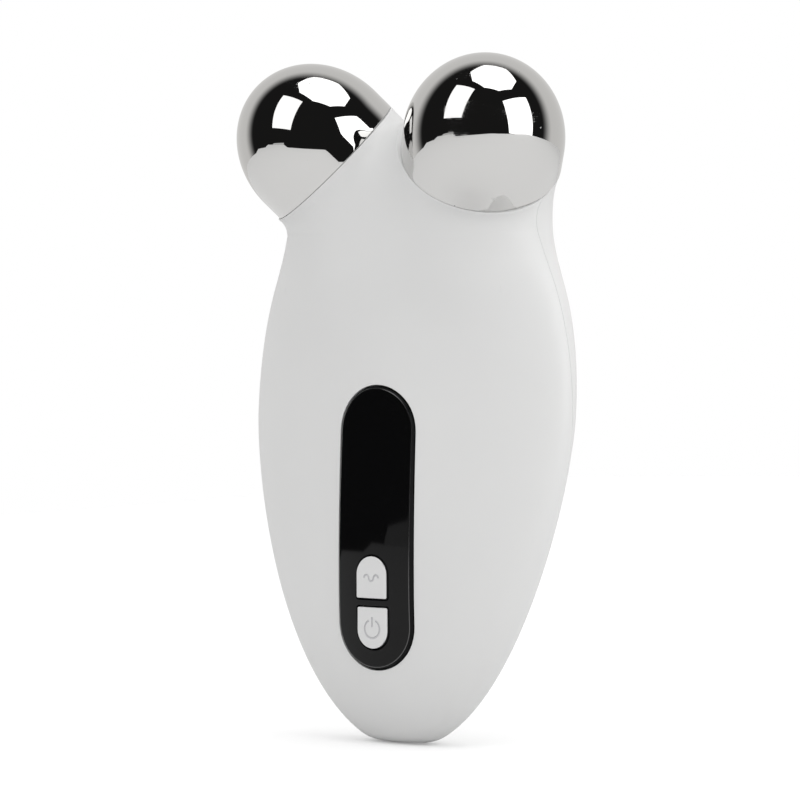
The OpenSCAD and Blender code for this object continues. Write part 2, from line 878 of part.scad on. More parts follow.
// a lead swept along its points, none of whose stretches runs along X
lead_sides = 8;
function bend_way(points, k) = k == 0 ? unit(points[1] - points[0])
    : k == len(points) - 1 ? unit(points[k] - points[k - 1])
    : unit(unit(points[k] - points[k - 1]) + unit(points[k + 1] - points[k]));
function lead_ring(points, k) = let (
        way = bend_way(points, k),
        u = unit(cross(way, [1, 0, 0])),
        v = cross(u, way)
    ) [for (j = [0:lead_sides - 1]) let (t = 360 * j / lead_sides)
        points[k] + lead_d / 2 * (cos(t) * u + sin(t) * v)];
module lead(points) {
    n = len(points);
    polyhedron(
        points = [for (k = [0:n - 1]) each lead_ring(points, k)],
        faces = concat(
            [[for (j = [lead_sides - 1:-1:0]) j]],
            [for (k = [0:n - 2]) for (j = [0:lead_sides - 1])
                let (a = k * lead_sides, b = (j + 1) % lead_sides)
                    [a + j, a + b, a + lead_sides + b, a + lead_sides + j]],
            [[for (j = [0:lead_sides - 1]) (n - 1) * lead_sides + j]]),
        convexity = 4);
}
// the leads start on the board's rear face, a little under its upper edge
lead_gap = 0.1;
lead_y = board_back + lead_d / 2 + lead_gap;
battery_lead_x = 2;
battery_lead_low = board_high - 1.8;
battery_lead_bend = board_high + 1;
battery_lead_rise = 0.6;
module battery_leads() {
    cell_mid = battery_y + battery_t / 2;
    color([0.7, 0.1, 0.1])
        for (x = [-battery_lead_x, battery_lead_x])
            lead([[x, lead_y, battery_lead_low], [x, lead_y, battery_lead_bend],
                [x, cell_mid, battery_z - battery_lead_rise],
                [x, cell_mid, battery_z - lead_gap / 2]]);
}
// the place of a lead's end on its tag, under the axle's nut
tag_reach = 6.2;
tag_mid = -seat_wall - tag_t / 2;
tag_under = 1.1;
electrode_lead_x = 6;
electrode_lead_low = board_high - 2.2;
electrode_lead_bend = board_high + 3;
// where the electrode leads pass over the cell's upper end
pass_x = 5.5;
pass_y = 0.4;
pass_z = battery_z + battery_l - 2;
function on_right_horn(q) = seat + q.x * [cos(splay), 0, -sin(splay)]
    + q.y * [sin(splay) * sin(lean), cos(lean), cos(splay) * sin(lean)] + q.z * horn_axis;
tag_end = on_right_horn([-tag_reach, 0, tag_mid - tag_under]);
tag_top = on_right_horn([-tag_reach, 0, tag_mid - tag_t / 2 - lead_gap / 5]);
module electrode_lead(side) {
    points = [[electrode_lead_x, lead_y, electrode_lead_low],
        [electrode_lead_x, lead_y, electrode_lead_bend], [pass_x, pass_y, pass_z], tag_end,
        tag_top];
    lead([for (p = points) [side * p.x, p.y, p.z]]);
}
module left_electrode_lead() {
    color([0.1, 0.1, 0.5]) electrode_lead(left);
}
module right_electrode_lead() {
    color([0.1, 0.1, 0.5]) electrode_lead(right);
}
module charge_socket() {
    color(steel_colour)
        translate([0, 0, socket_in])
            difference() {
                linear_extrude(socket_l)
                    rotate(90)
                        obround(socket_h, socket_w);
                translate([0, 0, -socket_floor])
                    linear_extrude(socket_l)
                        rotate(90)
                            obround(socket_h - 2 * socket_wall, socket_w - 2 * socket_wall);
            }
}
tongue_w = 6.6;
tongue_t = 0.7;
tongue_in = 0.9;
socket_floor = 1;
module charge_tongue() {
    color(chip_colour)
        box(-tongue_w / 2, tongue_w / 2, -tongue_t / 2, tongue_t / 2, socket_in + tongue_in,
            socket_in + socket_l - socket_floor);
}

// ---- rollers, each drawn upright on its seat ----

dome_steps = 24;
module roller_profile(r, h, low) {
    polygon(concat([[0, low], [r, low]],
        [for (k = [0:dome_steps]) let (t = 90 * k / dome_steps)
            [k == dome_steps ? 0 : r * cos(t), skirt_h + h * sin(t)]]));
}
module roller_shell() {
    color(chrome_colour)
        rotate_extrude()
            difference() {
                roller_profile(seat_r, dome_h, rim_gap);
                roller_profile(seat_r - roller_wall, dome_h - roller_wall, rim_gap - 1);
            }
}
hub_gap = 0.15;
hub_short = 1.6;
hub_low = collar_t + hub_gap;
hub_high = axle_out - hub_short;
hub_r = seat_r - roller_wall - fit_clear;
module roller_hub() {
    color([0.75, 0.75, 0.74])
        rotate_extrude()
            polygon([[bush_d / 2 + fit_clear, hub_low], [hub_r, hub_low],
                [hub_r, hub_low + hub_disc_t], [hub_d / 2, hub_low + hub_disc_t],
                [hub_d / 2, hub_high], [bush_d / 2 + fit_clear, hub_high]]);
}
module bushes() {
    color(copper_colour)
        for (z = [hub_low, hub_high - bush_l])
            translate([0, 0, z])
                difference() {
                    cylinder(h = bush_l, d = bush_d);
                    translate([0, 0, -1])
                        cylinder(h = bush_l + 2, d = axle_d + 2 * run_clear);
                }
}
clip_low = hub_high + hub_gap;
clip_t = 0.5;
clip_d = 6.8;
groove_t = 0.3;
module axle() {
    color(steel_colour)
        difference() {
            union() {
                translate([0, 0, -axle_in])
                    cylinder(h = axle_in + axle_out, d = axle_d);
                cylinder(h = collar_t, d = collar_d);
            }
            translate([0, 0, clip_low])
                difference() {
                    cylinder(h = clip_t, d = axle_d + 2);
                    translate([0, 0, -1])
                        cylinder(h = clip_t + 2, d = axle_d - 2 * groove_t);
                }
        }
}
module clip() {
    inner = axle_d / 2 - groove_t + fit_clear;
    color(steel_colour)
        translate([0, 0, clip_low + fit_clear / 2])
            linear_extrude(clip_t - fit_clear)
                difference() {
                    circle(d = clip_d);
                    circle(r = inner);
                    translate([-inner * 0.8, 0])
                        square([inner * 1.6, clip_d]);
                }
}
roller_seal_d = 12;
module seal() {
    color(rubber_colour)
        difference() {
            cylinder(h = collar_t - lead_gap, d = roller_seal_d);
            translate([0, 0, -1])
                cylinder(h = collar_t + 2, d = collar_d + 2 * fit_clear);
        }
}
module axle_nut() {
    color(steel_colour)
        translate([0, 0, -seat_wall - tag_t - nut_t])
            difference() {
                cylinder(h = nut_t, d = nut_w / cos(30), $fn = 6);
                translate([0, 0, -1])
                    cylinder(h = nut_t + 2, d = axle_d + 2 * fit_clear);
            }
}
tag_w = 2;
tag_tip = 0.8;
module lead_tag() {
    color(copper_colour)
        translate([0, 0, -seat_wall - tag_t])
            linear_extrude(tag_t)
                difference() {
                    union() {
                        circle(d = nut_w);
                        translate([-tag_reach - tag_tip, -tag_w / 2])
                            square([tag_reach, tag_w]);
                    }
                    circle(d = axle_d + 2 * fit_clear);
                }
}
spring_d = 3;
spring_wire = 0.5;
spring_gap = 0.1;
spring_play = 0.35;
module contact_spring() {
    low = axle_out + spring_gap;
    high = skirt_h + dome_h - roller_wall - spring_play;
    color(steel_colour)
        translate([0, 0, low])
            difference() {
                cylinder(h = high - low, d = spring_d);
                translate([0, 0, -1])
                    cylinder(h = high - low + 2, d = spring_d - 2 * spring_wire);
            }
}

module left_axle() { on_horn(left) axle(); }
module right_axle() { on_horn(right) axle(); }
module left_axle_nut() { on_horn(left) axle_nut(); }
module right_axle_nut() { on_horn(right) axle_nut(); }
module left_lead_tag() { on_horn(left) mirror([1, 0, 0]) lead_tag(); }
module right_lead_tag() { on_horn(right) lead_tag(); }
module left_roller_shell() { on_horn(left) roller_shell(); }
module right_roller_shell() { on_horn(right) roller_shell(); }
module left_roller_hub() { on_horn(left) roller_hub(); }
module right_roller_hub() { on_horn(right) roller_hub(); }
module left_bushes() { on_horn(left) bushes(); }
module right_bushes() { on_horn(right) bushes(); }
module left_seal() { on_horn(left) seal(); }
module right_seal() { on_horn(right) seal(); }
module left_clip() { on_horn(left) clip(); }
module right_clip() { on_horn(right) clip(); }
module left_contact_spring() { on_horn(left) contact_spring(); }
module right_contact_spring() { on_horn(right) contact_spring(); }

front_shell();
rear_shell();
display_panel();
panel_adhesive();
mode_button();
power_button();
button_seal();
display_module();
main_board();
board_screws();
mode_switch();
mode_switch_plunger();
power_switch();
power_switch_plunger();
control_chip();
charge_chip();
inductor();
capacitors();
battery();
battery_tape();
battery_leads();
charge_socket();
charge_tongue();
left_electrode_lead();
right_electrode_lead();
left_axle();
right_axle();
left_axle_nut();
right_axle_nut();
left_lead_tag();
right_lead_tag();
left_roller_shell();
right_roller_shell();
left_roller_hub();
right_roller_hub();
left_bushes();
right_bushes();
left_seal();
right_seal();
left_clip();
right_clip();
left_contact_spring();
right_contact_spring();
case_screws();
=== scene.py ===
"""Facial toning device: fine shells, chromed rollers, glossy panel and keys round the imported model."""
import json
import math

import bmesh
import bpy
import numpy as np
from mathutils import Matrix, Vector


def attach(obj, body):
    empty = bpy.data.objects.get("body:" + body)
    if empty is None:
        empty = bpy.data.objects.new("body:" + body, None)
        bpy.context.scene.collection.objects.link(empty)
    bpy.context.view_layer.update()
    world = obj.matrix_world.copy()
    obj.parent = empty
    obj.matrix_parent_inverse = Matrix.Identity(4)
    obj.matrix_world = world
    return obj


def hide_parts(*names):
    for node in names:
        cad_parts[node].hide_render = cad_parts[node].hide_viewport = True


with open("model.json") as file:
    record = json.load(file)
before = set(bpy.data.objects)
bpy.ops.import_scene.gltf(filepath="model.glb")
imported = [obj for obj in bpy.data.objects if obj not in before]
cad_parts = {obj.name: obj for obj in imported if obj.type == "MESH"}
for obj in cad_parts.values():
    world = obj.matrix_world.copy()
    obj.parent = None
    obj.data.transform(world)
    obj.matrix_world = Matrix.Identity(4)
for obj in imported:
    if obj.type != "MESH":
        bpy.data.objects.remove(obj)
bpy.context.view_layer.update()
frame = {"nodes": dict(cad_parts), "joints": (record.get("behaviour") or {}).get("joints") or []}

MM = 0.001
NODES = frame["nodes"]
JOINTS = {joint["name"]: joint for joint in frame["joints"]}

# ---- driving sizes, in millimetres, as in the part's source ----

BODY_W = 59.4
HANDLE_DEPTH = 16.8
BELLY_Z = 51.0
CROWN_H = 40.7
TAIL_OVER = 0.94
TAIL_FULLNESS = 1.56
HEAD_FULLNESS = 2.26
TAIL_FLARE = 0.62
HEAD_FLARE = 1.15
SWAY = 1.91
SWAY_LOW = 4.9
SWAY_HIGH = 78.5
KEEL_H = 1.1
KEEL_W = 4.0
KEEL_NARROWEST = 0.8
KEEL_SPREAD = 0.27
KEEL_LOW = -10.0
KEEL_FULL = 45.0
KEEL_FADE = 58.0
KEEL_HIGH = 84.0
PART_Y = 2.5
WALL = 1.8
FLOOR_T = 2.0
BEND_R = 16.0
STUB_L = 4.0
HORN_TAPER = 0.14
HORN_OVER = 4.0
SADDLE_BLEND = 11.0
NECK_BLEND = 6.0
TAIL_BLEND = 1.2
SEAT_WALL = 2.4
ROLLER_D = 24.7
DOME_H = 13.7
SKIRT_H = 3.4
ROLLER_WALL = 0.8
RIM_GAP = 0.04
LENS_W = 14.0
LENS_L = 43.5
LENS_Z = 33.5
LENS_T = 1.7
LENS_PROUD = 0.25
LENS_CROWN = 0.7
LENS_CHAMFER = 0.5
LEDGE_W = 1.3
LEDGE_T = 1.2
WINDOW_W = 10.4
WINDOW_H = 12.4
WINDOW_Z = 42.7
POCKET_CLEAR = 0.1
TAPE_T = 0.2
KEY_W = 5.6
MODE_H = 6.4
POWER_H = 6.3
KEY_GAP = 1.4
KEY_Z = 22.1
CENTRE_SHIFT = 0.1
KEY_PROUD = 0.1
KEY_CLEAR = 0.25
KEY_CORNER = 0.25
KEY_EDGE_R = 0.14
FLANGE_W = 0.5
FLANGE_T = 0.6
FLANGE_GAP = 0.15
WINDOW_CLEAR = 0.3
POST_D = 2.4
MARK_W = 0.25
MARK_T = 0.12
MARK_SHIFT = 0.25
SWITCH_T = 1.5
PLUNGER_OUT = 0.5
BOARD_T = 1.0
FIT_CLEAR = 0.05
AXLE_D = 4.0
CASE_SCREW_D = 2.0
CASE_SCREW_ZS = (33.6, 52.2)
HEAD_D = 3.2
HEAD_CLEAR = 0.1
HEAD_SUNK = 1.2
BOSS_D = 5.0
BOARD_SCREW_X = 8.4
BOARD_SCREW_Z = 42.0
BOARD_SCREW_D = 1.6
BOARD_SCREW_L = 2.0
BOSS_WALL = 1.4
DOWEL_X = 18.5
DOWEL_Z = 70.0
DOWEL_D = 2.0
DOWEL_L = 2.5
DOWEL_WALL = 1.0
BLIND = 0.4
SUNK = 0.6
BATTERY_Z = 58.5
BATTERY_L = 22.0
BATTERY_BACK = 9.0
RIB_X = 8.0
RIB_W = 1.6
SOCKET_W = 8.9
SOCKET_H = 3.2
SOCKET_CLEAR = 0.1

# ---- allowances of the cutters and of solids that are joined ----

FRONT_LIMIT = -14.0
REAR_LIMIT = 20.0
OVERLAP = 0.3
OVERSHOOT = 1.0
STAND_OUT = 0.6
SHY = 0.003
WINDOW_SHY = 0.01
WELD = 1e-7
TINY = 1e-6

SEAT = np.array(JOINTS["right_roller_spin"]["pos_m"]) / MM
HORN_AXIS = np.array(JOINTS["right_roller_spin"]["axis"])

# ---- the body's outer surface, as a field that is negative inside ----


def smooth_min(a, b, k):
    h = np.maximum(k - np.abs(a - b), 0) / k
    return np.minimum(a, b) - h * h * k / 4


def spine_y(z):
    share = np.clip((z - SWAY_LOW) / (SWAY_HIGH - SWAY_LOW), 0, 1)
    return SWAY * (1 - np.cos(np.pi * share))


def end_length(z):
    return np.where(z < BELLY_Z, BELLY_Z + TAIL_OVER, CROWN_H)


def end_share(z):
    return np.abs(z - BELLY_Z) / end_length(z)


def end_power(z):
    return np.where(z < BELLY_Z, TAIL_FULLNESS, HEAD_FULLNESS)


def section_depth(z):
    flare = np.where(z < BELLY_Z, TAIL_FLARE, HEAD_FLARE)
    return HANDLE_DEPTH / 2 * (1 + flare * np.minimum(end_share(z), 1) ** 2)


def ease(low, high, z):
    t = np.clip((z - low) / (high - low), 0, 1)
    return t * t * (3 - 2 * t)


def keel(x, z):
    """The gentle ridge along the front's middle that carries the lens."""
    reach = np.maximum(KEEL_W * KEEL_NARROWEST, KEEL_W + KEEL_SPREAD * (z - KEY_Z))
    along = ease(KEEL_LOW, KEEL_FULL, z) * (1 - ease(KEEL_FADE, KEEL_HIGH, z))
    return KEEL_H * along * np.exp(-(x / reach) ** 2)


def front_y(z):
    """The body's front on its middle line."""
    depth = section_depth(z) + keel(0, z)
    return spine_y(z) - depth * np.sqrt(np.maximum(1 - end_share(z) ** end_power(z), 0))


def egg(p):
    x, y, z = p[:, 0], p[:, 1] - spine_y(p[:, 2]), p[:, 2]
    a, b, u = BODY_W / 2, section_depth(z) + np.where(y < 0, keel(x, z), 0), end_share(z)
    k0 = np.sqrt((x / a) ** 2 + (y / b) ** 2 + u ** end_power(z)) + 1e-9
    k1 = np.sqrt((x / a / a) ** 2 + (y / b / b) ** 2 + (u / end_length(z)) ** 2) + 1e-9
    return k0 * (k0 - 1) / k1


BEND_IN = HORN_AXIS * HORN_AXIS[2] - np.array([0.0, 0.0, 1.0])
BEND_IN = BEND_IN / np.linalg.norm(BEND_IN)
BEND_SIDE = np.cross(HORN_AXIS, BEND_IN)
BEND_ANGLE = math.acos(HORN_AXIS[2])
BEND_CENTRE = SEAT + BEND_IN * BEND_R
BEND_END = BEND_CENTRE - BEND_R * (math.cos(BEND_ANGLE) * BEND_IN + math.sin(BEND_ANGLE) * HORN_AXIS)


def horn(p):
    v = p - BEND_CENTRE
    along_in = -(v @ BEND_IN)
    along_axis = -(v @ HORN_AXIS)
    turn = np.arctan2(along_axis, along_in)
    up = np.clip((p - SEAT) @ HORN_AXIS, 0, HORN_OVER)
    down = np.clip(BEND_END[2] - p[:, 2], 0, STUB_L)
    drop = np.stack([0 * down, 0 * down, down], axis=1)
    above = np.linalg.norm(p - SEAT - up[:, None] * HORN_AXIS, axis=1)
    below = np.linalg.norm(p - BEND_END + drop, axis=1)
    round_bend = np.hypot(np.hypot(along_in, along_axis) - BEND_R, v @ BEND_SIDE)
    past = turn > BEND_ANGLE
    far = np.where(turn < 0, above, np.where(past, below, round_bend))
    run = np.where(turn < 0, 0, np.where(past, BEND_ANGLE * BEND_R + down, turn * BEND_R))
    return far - ROLLER_D / 2 + HORN_TAPER * run


def outside(p):
    mirrored = p * np.array([-1.0, 1.0, 1.0])
    horns = smooth_min(horn(p), horn(mirrored), SADDLE_BLEND)
    body = smooth_min(egg(p), horns, NECK_BLEND)
    return -smooth_min(-body, p[:, 2], TAIL_BLEND)


def over_seat(p):
    folded = np.abs(p * np.array([1.0, 0.0, 0.0])) + p * np.array([0.0, 1.0, 1.0])
    return (folded - SEAT) @ HORN_AXIS


def cavity(p):
    return np.maximum.reduce([outside(p) + WALL, FLOOR_T - p[:, 2], over_seat(p) + SEAT_WALL])


# ---- skins: rays from the parting plane's middle line out to a field's zero ----

FAN_LOW = 18.0
FAN_HIGH = 77.0
TAIL_ROWS = 0.2
CROWN_ROWS = 0.36
RAY_FLATNESS = 0.4
MARCH = 2.0
REACH = 62.0
HALVINGS = 22


def skin_points(field, v, w):
    """Points of the field's surface: v from 0 at the tail to 1 at the crown, w the way round in radians."""
    v, w = np.broadcast_arrays(v, w)
    shape = v.shape
    v, w = v.ravel(), w.ravel()
    z = FAN_LOW + (FAN_HIGH - FAN_LOW) * np.clip((v - TAIL_ROWS) / (1 - TAIL_ROWS - CROWN_ROWS), 0, 1)
    tilt = np.where(v < TAIL_ROWS, v / TAIL_ROWS - 1, np.maximum(v - 1 + CROWN_ROWS, 0) / CROWN_ROWS)
    tilt = tilt * math.pi / 2
    turn = np.arctan2(RAY_FLATNESS * np.sin(w), np.cos(w))
    start = np.stack([0 * z, 0 * z + PART_Y, z], axis=1)
    way = np.stack([np.cos(tilt) * np.cos(turn), np.cos(tilt) * np.sin(turn), np.sin(tilt)], axis=1)
    low, high = np.zeros(len(v)), np.full(len(v), REACH)
    found = np.zeros(len(v), bool)
    for reach in np.arange(MARCH, REACH, MARCH):
        out = (field(start + reach * way) > 0) & ~found
        low[out], high[out] = reach - MARCH, reach
        found |= out
    for _ in range(HALVINGS):
        mid = (low + high) / 2
        inner = field(start + mid[:, None] * way) < 0
        low, high = np.where(inner, mid, low), np.where(inner, high, mid)
    return (start + low[:, None] * way).reshape(*shape, 3)


def add_grid(bm, points):
    """Adds a grid of points and its faces; returns the rows of vertices."""
    rows = [[bm.verts.new(point * MM) for point in row] for row in points]
    for lower, upper in zip(rows, rows[1:]):
        for j in range(len(lower) - 1):
            bm.faces.new((lower[j], lower[j + 1], upper[j + 1], upper[j]))
    return rows


def add_fan(bm, row, tip, upward):
    """Closes a grid's end to one point."""
    pole = bm.verts.new(tip * MM)
    for a, b in zip(row, row[1:]):
        bm.faces.new((a, b, pole) if upward else (b, a, pole))


def half_skin(bm, field, side, rows, columns):
    """One half of a skin, from the tail's pole to the crown's, with its edge in the parting plane."""
    v = np.linspace(0, 1, rows + 1)
    w = np.linspace(math.pi, 0, columns + 1) * side
    points = skin_points(field, v[1:-1, None], w[None, :])
    points[:, 0, 1] = points[:, -1, 1] = PART_Y
    grid = add_grid(bm, points)
    add_fan(bm, grid[0], skin_points(field, v[:1], w[:1])[0], upward=False)
    add_fan(bm, grid[-1], skin_points(field, v[-1:], w[:1])[0], upward=True)


# ---- mesh helpers ----


def mesh_object(name, bm):
    """Turns a bmesh into an object in the scene."""
    mesh = bpy.data.meshes.new(name)
    bm.to_mesh(mesh)
    bm.free()
    made = bpy.data.objects.new(name, mesh)
    bpy.context.scene.collection.objects.link(made)
    return made


def crease(piece, angle):
    """Smooth shading, with the edges past an angle in degrees kept sharp."""
    for face in piece.data.polygons:
        face.use_smooth = True
    piece.data.set_sharp_from_angle(angle=math.radians(angle))


def new_piece(name, bm, body, smooth_angle):
    """Turns a bmesh into a piece that rides on a body and stands for the CAD node of its name."""
    bmesh.ops.recalc_face_normals(bm, faces=bm.faces)
    piece = mesh_object(name, bm)
    crease(piece, smooth_angle)
    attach(piece, body)
    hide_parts(name)
    return piece


def cut(piece, bm, operation="DIFFERENCE"):
    """Cuts a bmesh's solid out of a piece, or joins it on, exactly."""
    bmesh.ops.recalc_face_normals(bm, faces=bm.faces)
    tool = mesh_object("tool", bm)
    step = piece.modifiers.new("cut", "BOOLEAN")
    step.operation = operation
    step.solver = "EXACT"
    step.object = tool
    graph = bpy.context.evaluated_depsgraph_get()
    result = bpy.data.meshes.new_from_object(piece.evaluated_get(graph))
    piece.modifiers.clear()
    old, mesh = piece.data, tool.data
    result.name = old.name
    piece.data = result
    bpy.data.meshes.remove(old)
    bpy.data.objects.remove(tool)
    bpy.data.meshes.remove(mesh)


def angles(first, sweep, steps):
    """Angles in radians from the first one on, both ends included."""
    return [first + sweep * k / steps for k in range(steps + 1)]


def loft(bm, rings, close_ends=True):
    """Joins closed rings of points, in millimetres, into one skin."""
    loops = [[bm.verts.new(np.asarray(point, float) * MM) for point in ring] for ring in rings]
    count = len(loops[0])
    for lower, upper in zip(loops, loops[1:]):
        for j in range(count):
            k = (j + 1) % count
            bm.faces.new((lower[j], lower[k], upper[k], upper[j]))
    if close_ends:
        bm.faces.new(list(reversed(loops[0])))
        bm.faces.new(loops[-1])
    return loops


def lathe(bm, profile, segments, place):
    """Turns a profile of (radius, height) points about the local Z axis; radius 0 makes a pole."""
    rings = []
    for radius, height in profile:
        if radius == 0:
            rings.append([bm.verts.new(place @ (Vector((0, 0, height)) * MM))])
            continue
        ring = []
        for t in angles(0, 2 * math.pi, segments)[:-1]:
            local = Vector((radius * math.cos(t), radius * math.sin(t), height)) * MM
            ring.append(bm.verts.new(place @ local))
        rings.append(ring)
    for a, b in zip(rings, rings[1:]):
        for k in range(segments):
            n = (k + 1) % segments
            corners = [a[k % len(a)], a[n % len(a)], b[n % len(b)], b[k % len(b)]]
            unique = list(dict.fromkeys(corners))
            if len(unique) > 2:
                bm.faces.new(unique)


def obround(width, height, steps=24, along=30):
    """Points of an upright obround about the origin, anticlockwise seen from the front."""
    r, reach = width / 2, (height - width) / 2
    points = []
    for sign, first in ((1, 0.0), (-1, math.pi)):
        points += [(r * math.cos(t), sign * reach + r * math.sin(t)) for t in angles(first, math.pi, steps)]
        points += [(-sign * r, sign * reach * (1 - 2 * k / along)) for k in range(1, along)]
    return points


def add_rod(bm, start, end, diameter, segments=40):
    """A closed cylinder between two points, in millimetres."""
    start, end = Vector(start) * MM, Vector(end) * MM
    turn = (end - start).to_track_quat("Z", "Y").to_matrix().to_4x4()
    bmesh.ops.create_cone(bm, cap_ends=True, segments=segments, radius1=diameter / 2 * MM,
                          radius2=diameter / 2 * MM, depth=(end - start).length,
                          matrix=Matrix.Translation((start + end) / 2) @ turn)


def add_rods(bm, *rods):
    """Cylinders along Y: each rod is x, z, the two ends and the diameter."""
    for x, z, low, high, diameter in rods:
        add_rod(bm, (x, low, z), (x, high, z), diameter)


def add_prism(bm, outline, low, high):
    loft(bm, [[(x, y, z) for x, z in outline] for y in (high, low)])


INSET_STEPS = 8
LEAST_STEP = 0.05


def insets_to_edge(half_width):
    """Insets in even steps, from a plate's middle line to one step short of its edge."""
    return [half_width * (1 - k / INSET_STEPS) for k in range(INSET_STEPS)]


def ring_on(surface, outline, depth=0.0):
    """An outline of (x, z) laid on a surface, or at a depth behind it."""
    ys = surface(np.array(outline)) + depth
    return [(x, y, z) for (x, z), y in zip(outline, ys)]


def add_plate(bm, outline, half_width, back, front, edge=((0.0, 0.0),)):
    """A plate whose back and front follow two surfaces; edge gives (inset, depth) steps of its front edge.

    Every ring is the outline shrunk by an inset, down to its middle line, so both faces are quads.
    """
    insets = insets_to_edge(half_width)
    levels = [(inset, back, 0.0) for inset in insets] + [(0.0, back, 0.0)]
    levels += [(inset, front, depth) for inset, depth in edge]
    first = levels[-1][0]
    levels += [(inset, front, 0.0) for inset in reversed(insets) if inset > first + LEAST_STEP]
    loft(bm, [ring_on(surface, outline(-inset), depth) for inset, surface, depth in levels], close_ends=False)
    bmesh.ops.remove_doubles(bm, verts=bm.verts, dist=WELD)


# ---- shells ----

SHELL_ROWS = 300
SHELL_COLUMNS = 190
INNER_ROWS = 60
INNER_COLUMNS = 36
SURFACE_HALVINGS = 40
SHELL_CREASE = 30
RIM_R = 0.1
RIM_STEPS = (0.015, 0.035, 0.07, RIM_R)
SEAM_R = 0.12
SEAM_STEPS = (0.02, 0.06, SEAM_R)
ON_SEAM = 1e-4
SEAM_SPARE = 0.001


def unit(rows):
    return rows / np.maximum(np.linalg.norm(rows, axis=1), TINY)[:, None]


def outward(field, points):
    """Unit gradients of a field, by central differences."""
    step = 0.01
    slopes = [field(points + step * axis) - field(points - step * axis) for axis in np.eye(3)]
    return unit(np.stack(slopes, axis=1))


def quarter_round(depth, radius):
    """How far the surface of a round edge stands back, at a depth below the edge's plane."""
    left = radius - np.clip(depth, 0, radius)
    return radius - np.sqrt(np.maximum(radius**2 - left**2, 0))


def seat_plane(side):
    centre = Vector((side * SEAT[0], SEAT[1], SEAT[2])) * MM
    normal = Vector((side * HORN_AXIS[0], HORN_AXIS[1], HORN_AXIS[2]))
    return centre, normal


def bisect(bm, place, normal, clear):
    geometry = bm.verts[:] + bm.edges[:] + bm.faces[:]
    return bmesh.ops.bisect_plane(bm, geom=geometry, dist=WELD, plane_co=place, plane_no=normal,
                                  clear_outer=clear, clear_inner=False)


def fill_cut(bm, result):
    edges = [part for part in result["geom_cut"] if isinstance(part, bmesh.types.BMEdge)]
    bmesh.ops.triangle_fill(bm, edges=edges, use_beauty=True)


def shell_skin(side):
    """The outer skin of one shell with round edges at the seam and the seats, and its inner skin."""
    bm = bmesh.new()
    half_skin(bm, outside, side, SHELL_ROWS, SHELL_COLUMNS)
    for direction in (-1, 1):
        centre, normal = seat_plane(direction)
        for step in RIM_STEPS:
            bisect(bm, centre - normal * step * MM, normal, clear=False)
    for step in SEAM_STEPS:
        bisect(bm, Vector((0, PART_Y + side * step, 0)) * MM, Vector((0, -side, 0)), clear=False)
    verts = list(bm.verts)
    points = np.array([vert.co[:] for vert in verts]) / MM
    way = outward(outside, points)
    from_seam = np.abs(points[:, 1] - PART_Y)
    seam_way = unit(way * np.array([1.0, 0.0, 1.0]))
    axis = HORN_AXIS * (np.sign(points[:, :1]) * np.array([[1.0, 0, 0]]) + np.array([[0, 1.0, 1.0]]))
    seat_way = unit(way - (way * axis).sum(axis=1)[:, None] * axis)
    seat_way[from_seam < ON_SEAM, 1] = 0
    move = seat_way * quarter_round(-over_seat(points), RIM_R)[:, None]
    move += seam_way * quarter_round(from_seam, SEAM_R)[:, None]
    for vert, shift in zip(verts, move):
        vert.co -= Vector(shift) * MM
    half_skin(bm, cavity, side, INNER_ROWS, INNER_COLUMNS)
    return bm


def fill_parting(bm):
    """Closes the strip between the two skins in the parting plane."""
    level = [edge for edge in bm.edges if edge.is_boundary
             and all(abs(vert.co.y / MM - PART_Y) < SEAM_SPARE for vert in edge.verts)]
    bmesh.ops.triangle_fill(bm, edges=level, use_beauty=True)


def body_shell(name, side):
    bm = shell_skin(side)
    fill_parting(bm)
    for direction in (-1, 1):
        centre, normal = seat_plane(direction)
        fill_cut(bm, bisect(bm, centre, normal, clear=True))
    return new_piece(name, bm, "handle", SHELL_CREASE)


def surface_y(places, rear=False):
    """The front or rear surface's y at places (x, z), by halving."""
    low = np.full(len(places), REAR_LIMIT if rear else FRONT_LIMIT)
    high = np.full(len(places), PART_Y)
    for _ in range(SURFACE_HALVINGS):
        mid = (low + high) / 2
        p = np.stack([places[:, 0], mid, places[:, 1]], axis=1)
        out = outside(p) > 0
        low, high = np.where(out, mid, low), np.where(out, high, mid)
    return low


def lens_outline(grow):
    return [(x, z + LENS_Z) for x, z in obround(LENS_W + 2 * grow, LENS_L + 2 * grow)]


def socket_outline(grow):
    r = SOCKET_H / 2 + SOCKET_CLEAR + grow
    reach = (SOCKET_W - SOCKET_H) / 2
    ring = []
    for sign, first in ((1, -math.pi / 2), (-1, math.pi / 2)):
        ring += [(sign * reach + r * math.cos(t), r * math.sin(t)) for t in angles(first, math.pi, 16)]
    return ring


def window_outline():
    return [(x * WINDOW_W / 2, WINDOW_Z + z * WINDOW_H / 2) for x, z in ((1, 1), (-1, 1), (-1, -1), (1, -1))]


def key_window_outline():
    grow = FLANGE_W + WINDOW_CLEAR
    low, high = POWER_LOW - grow, MODE_HIGH + grow
    return [(x, z + (low + high) / 2) for x, z in obround(KEY_W + 2 * grow, high - low, along=2)]


def front_line(places):
    """The body's front on its middle line, at the heights of places (x, z)."""
    return front_y(places[:, 1])


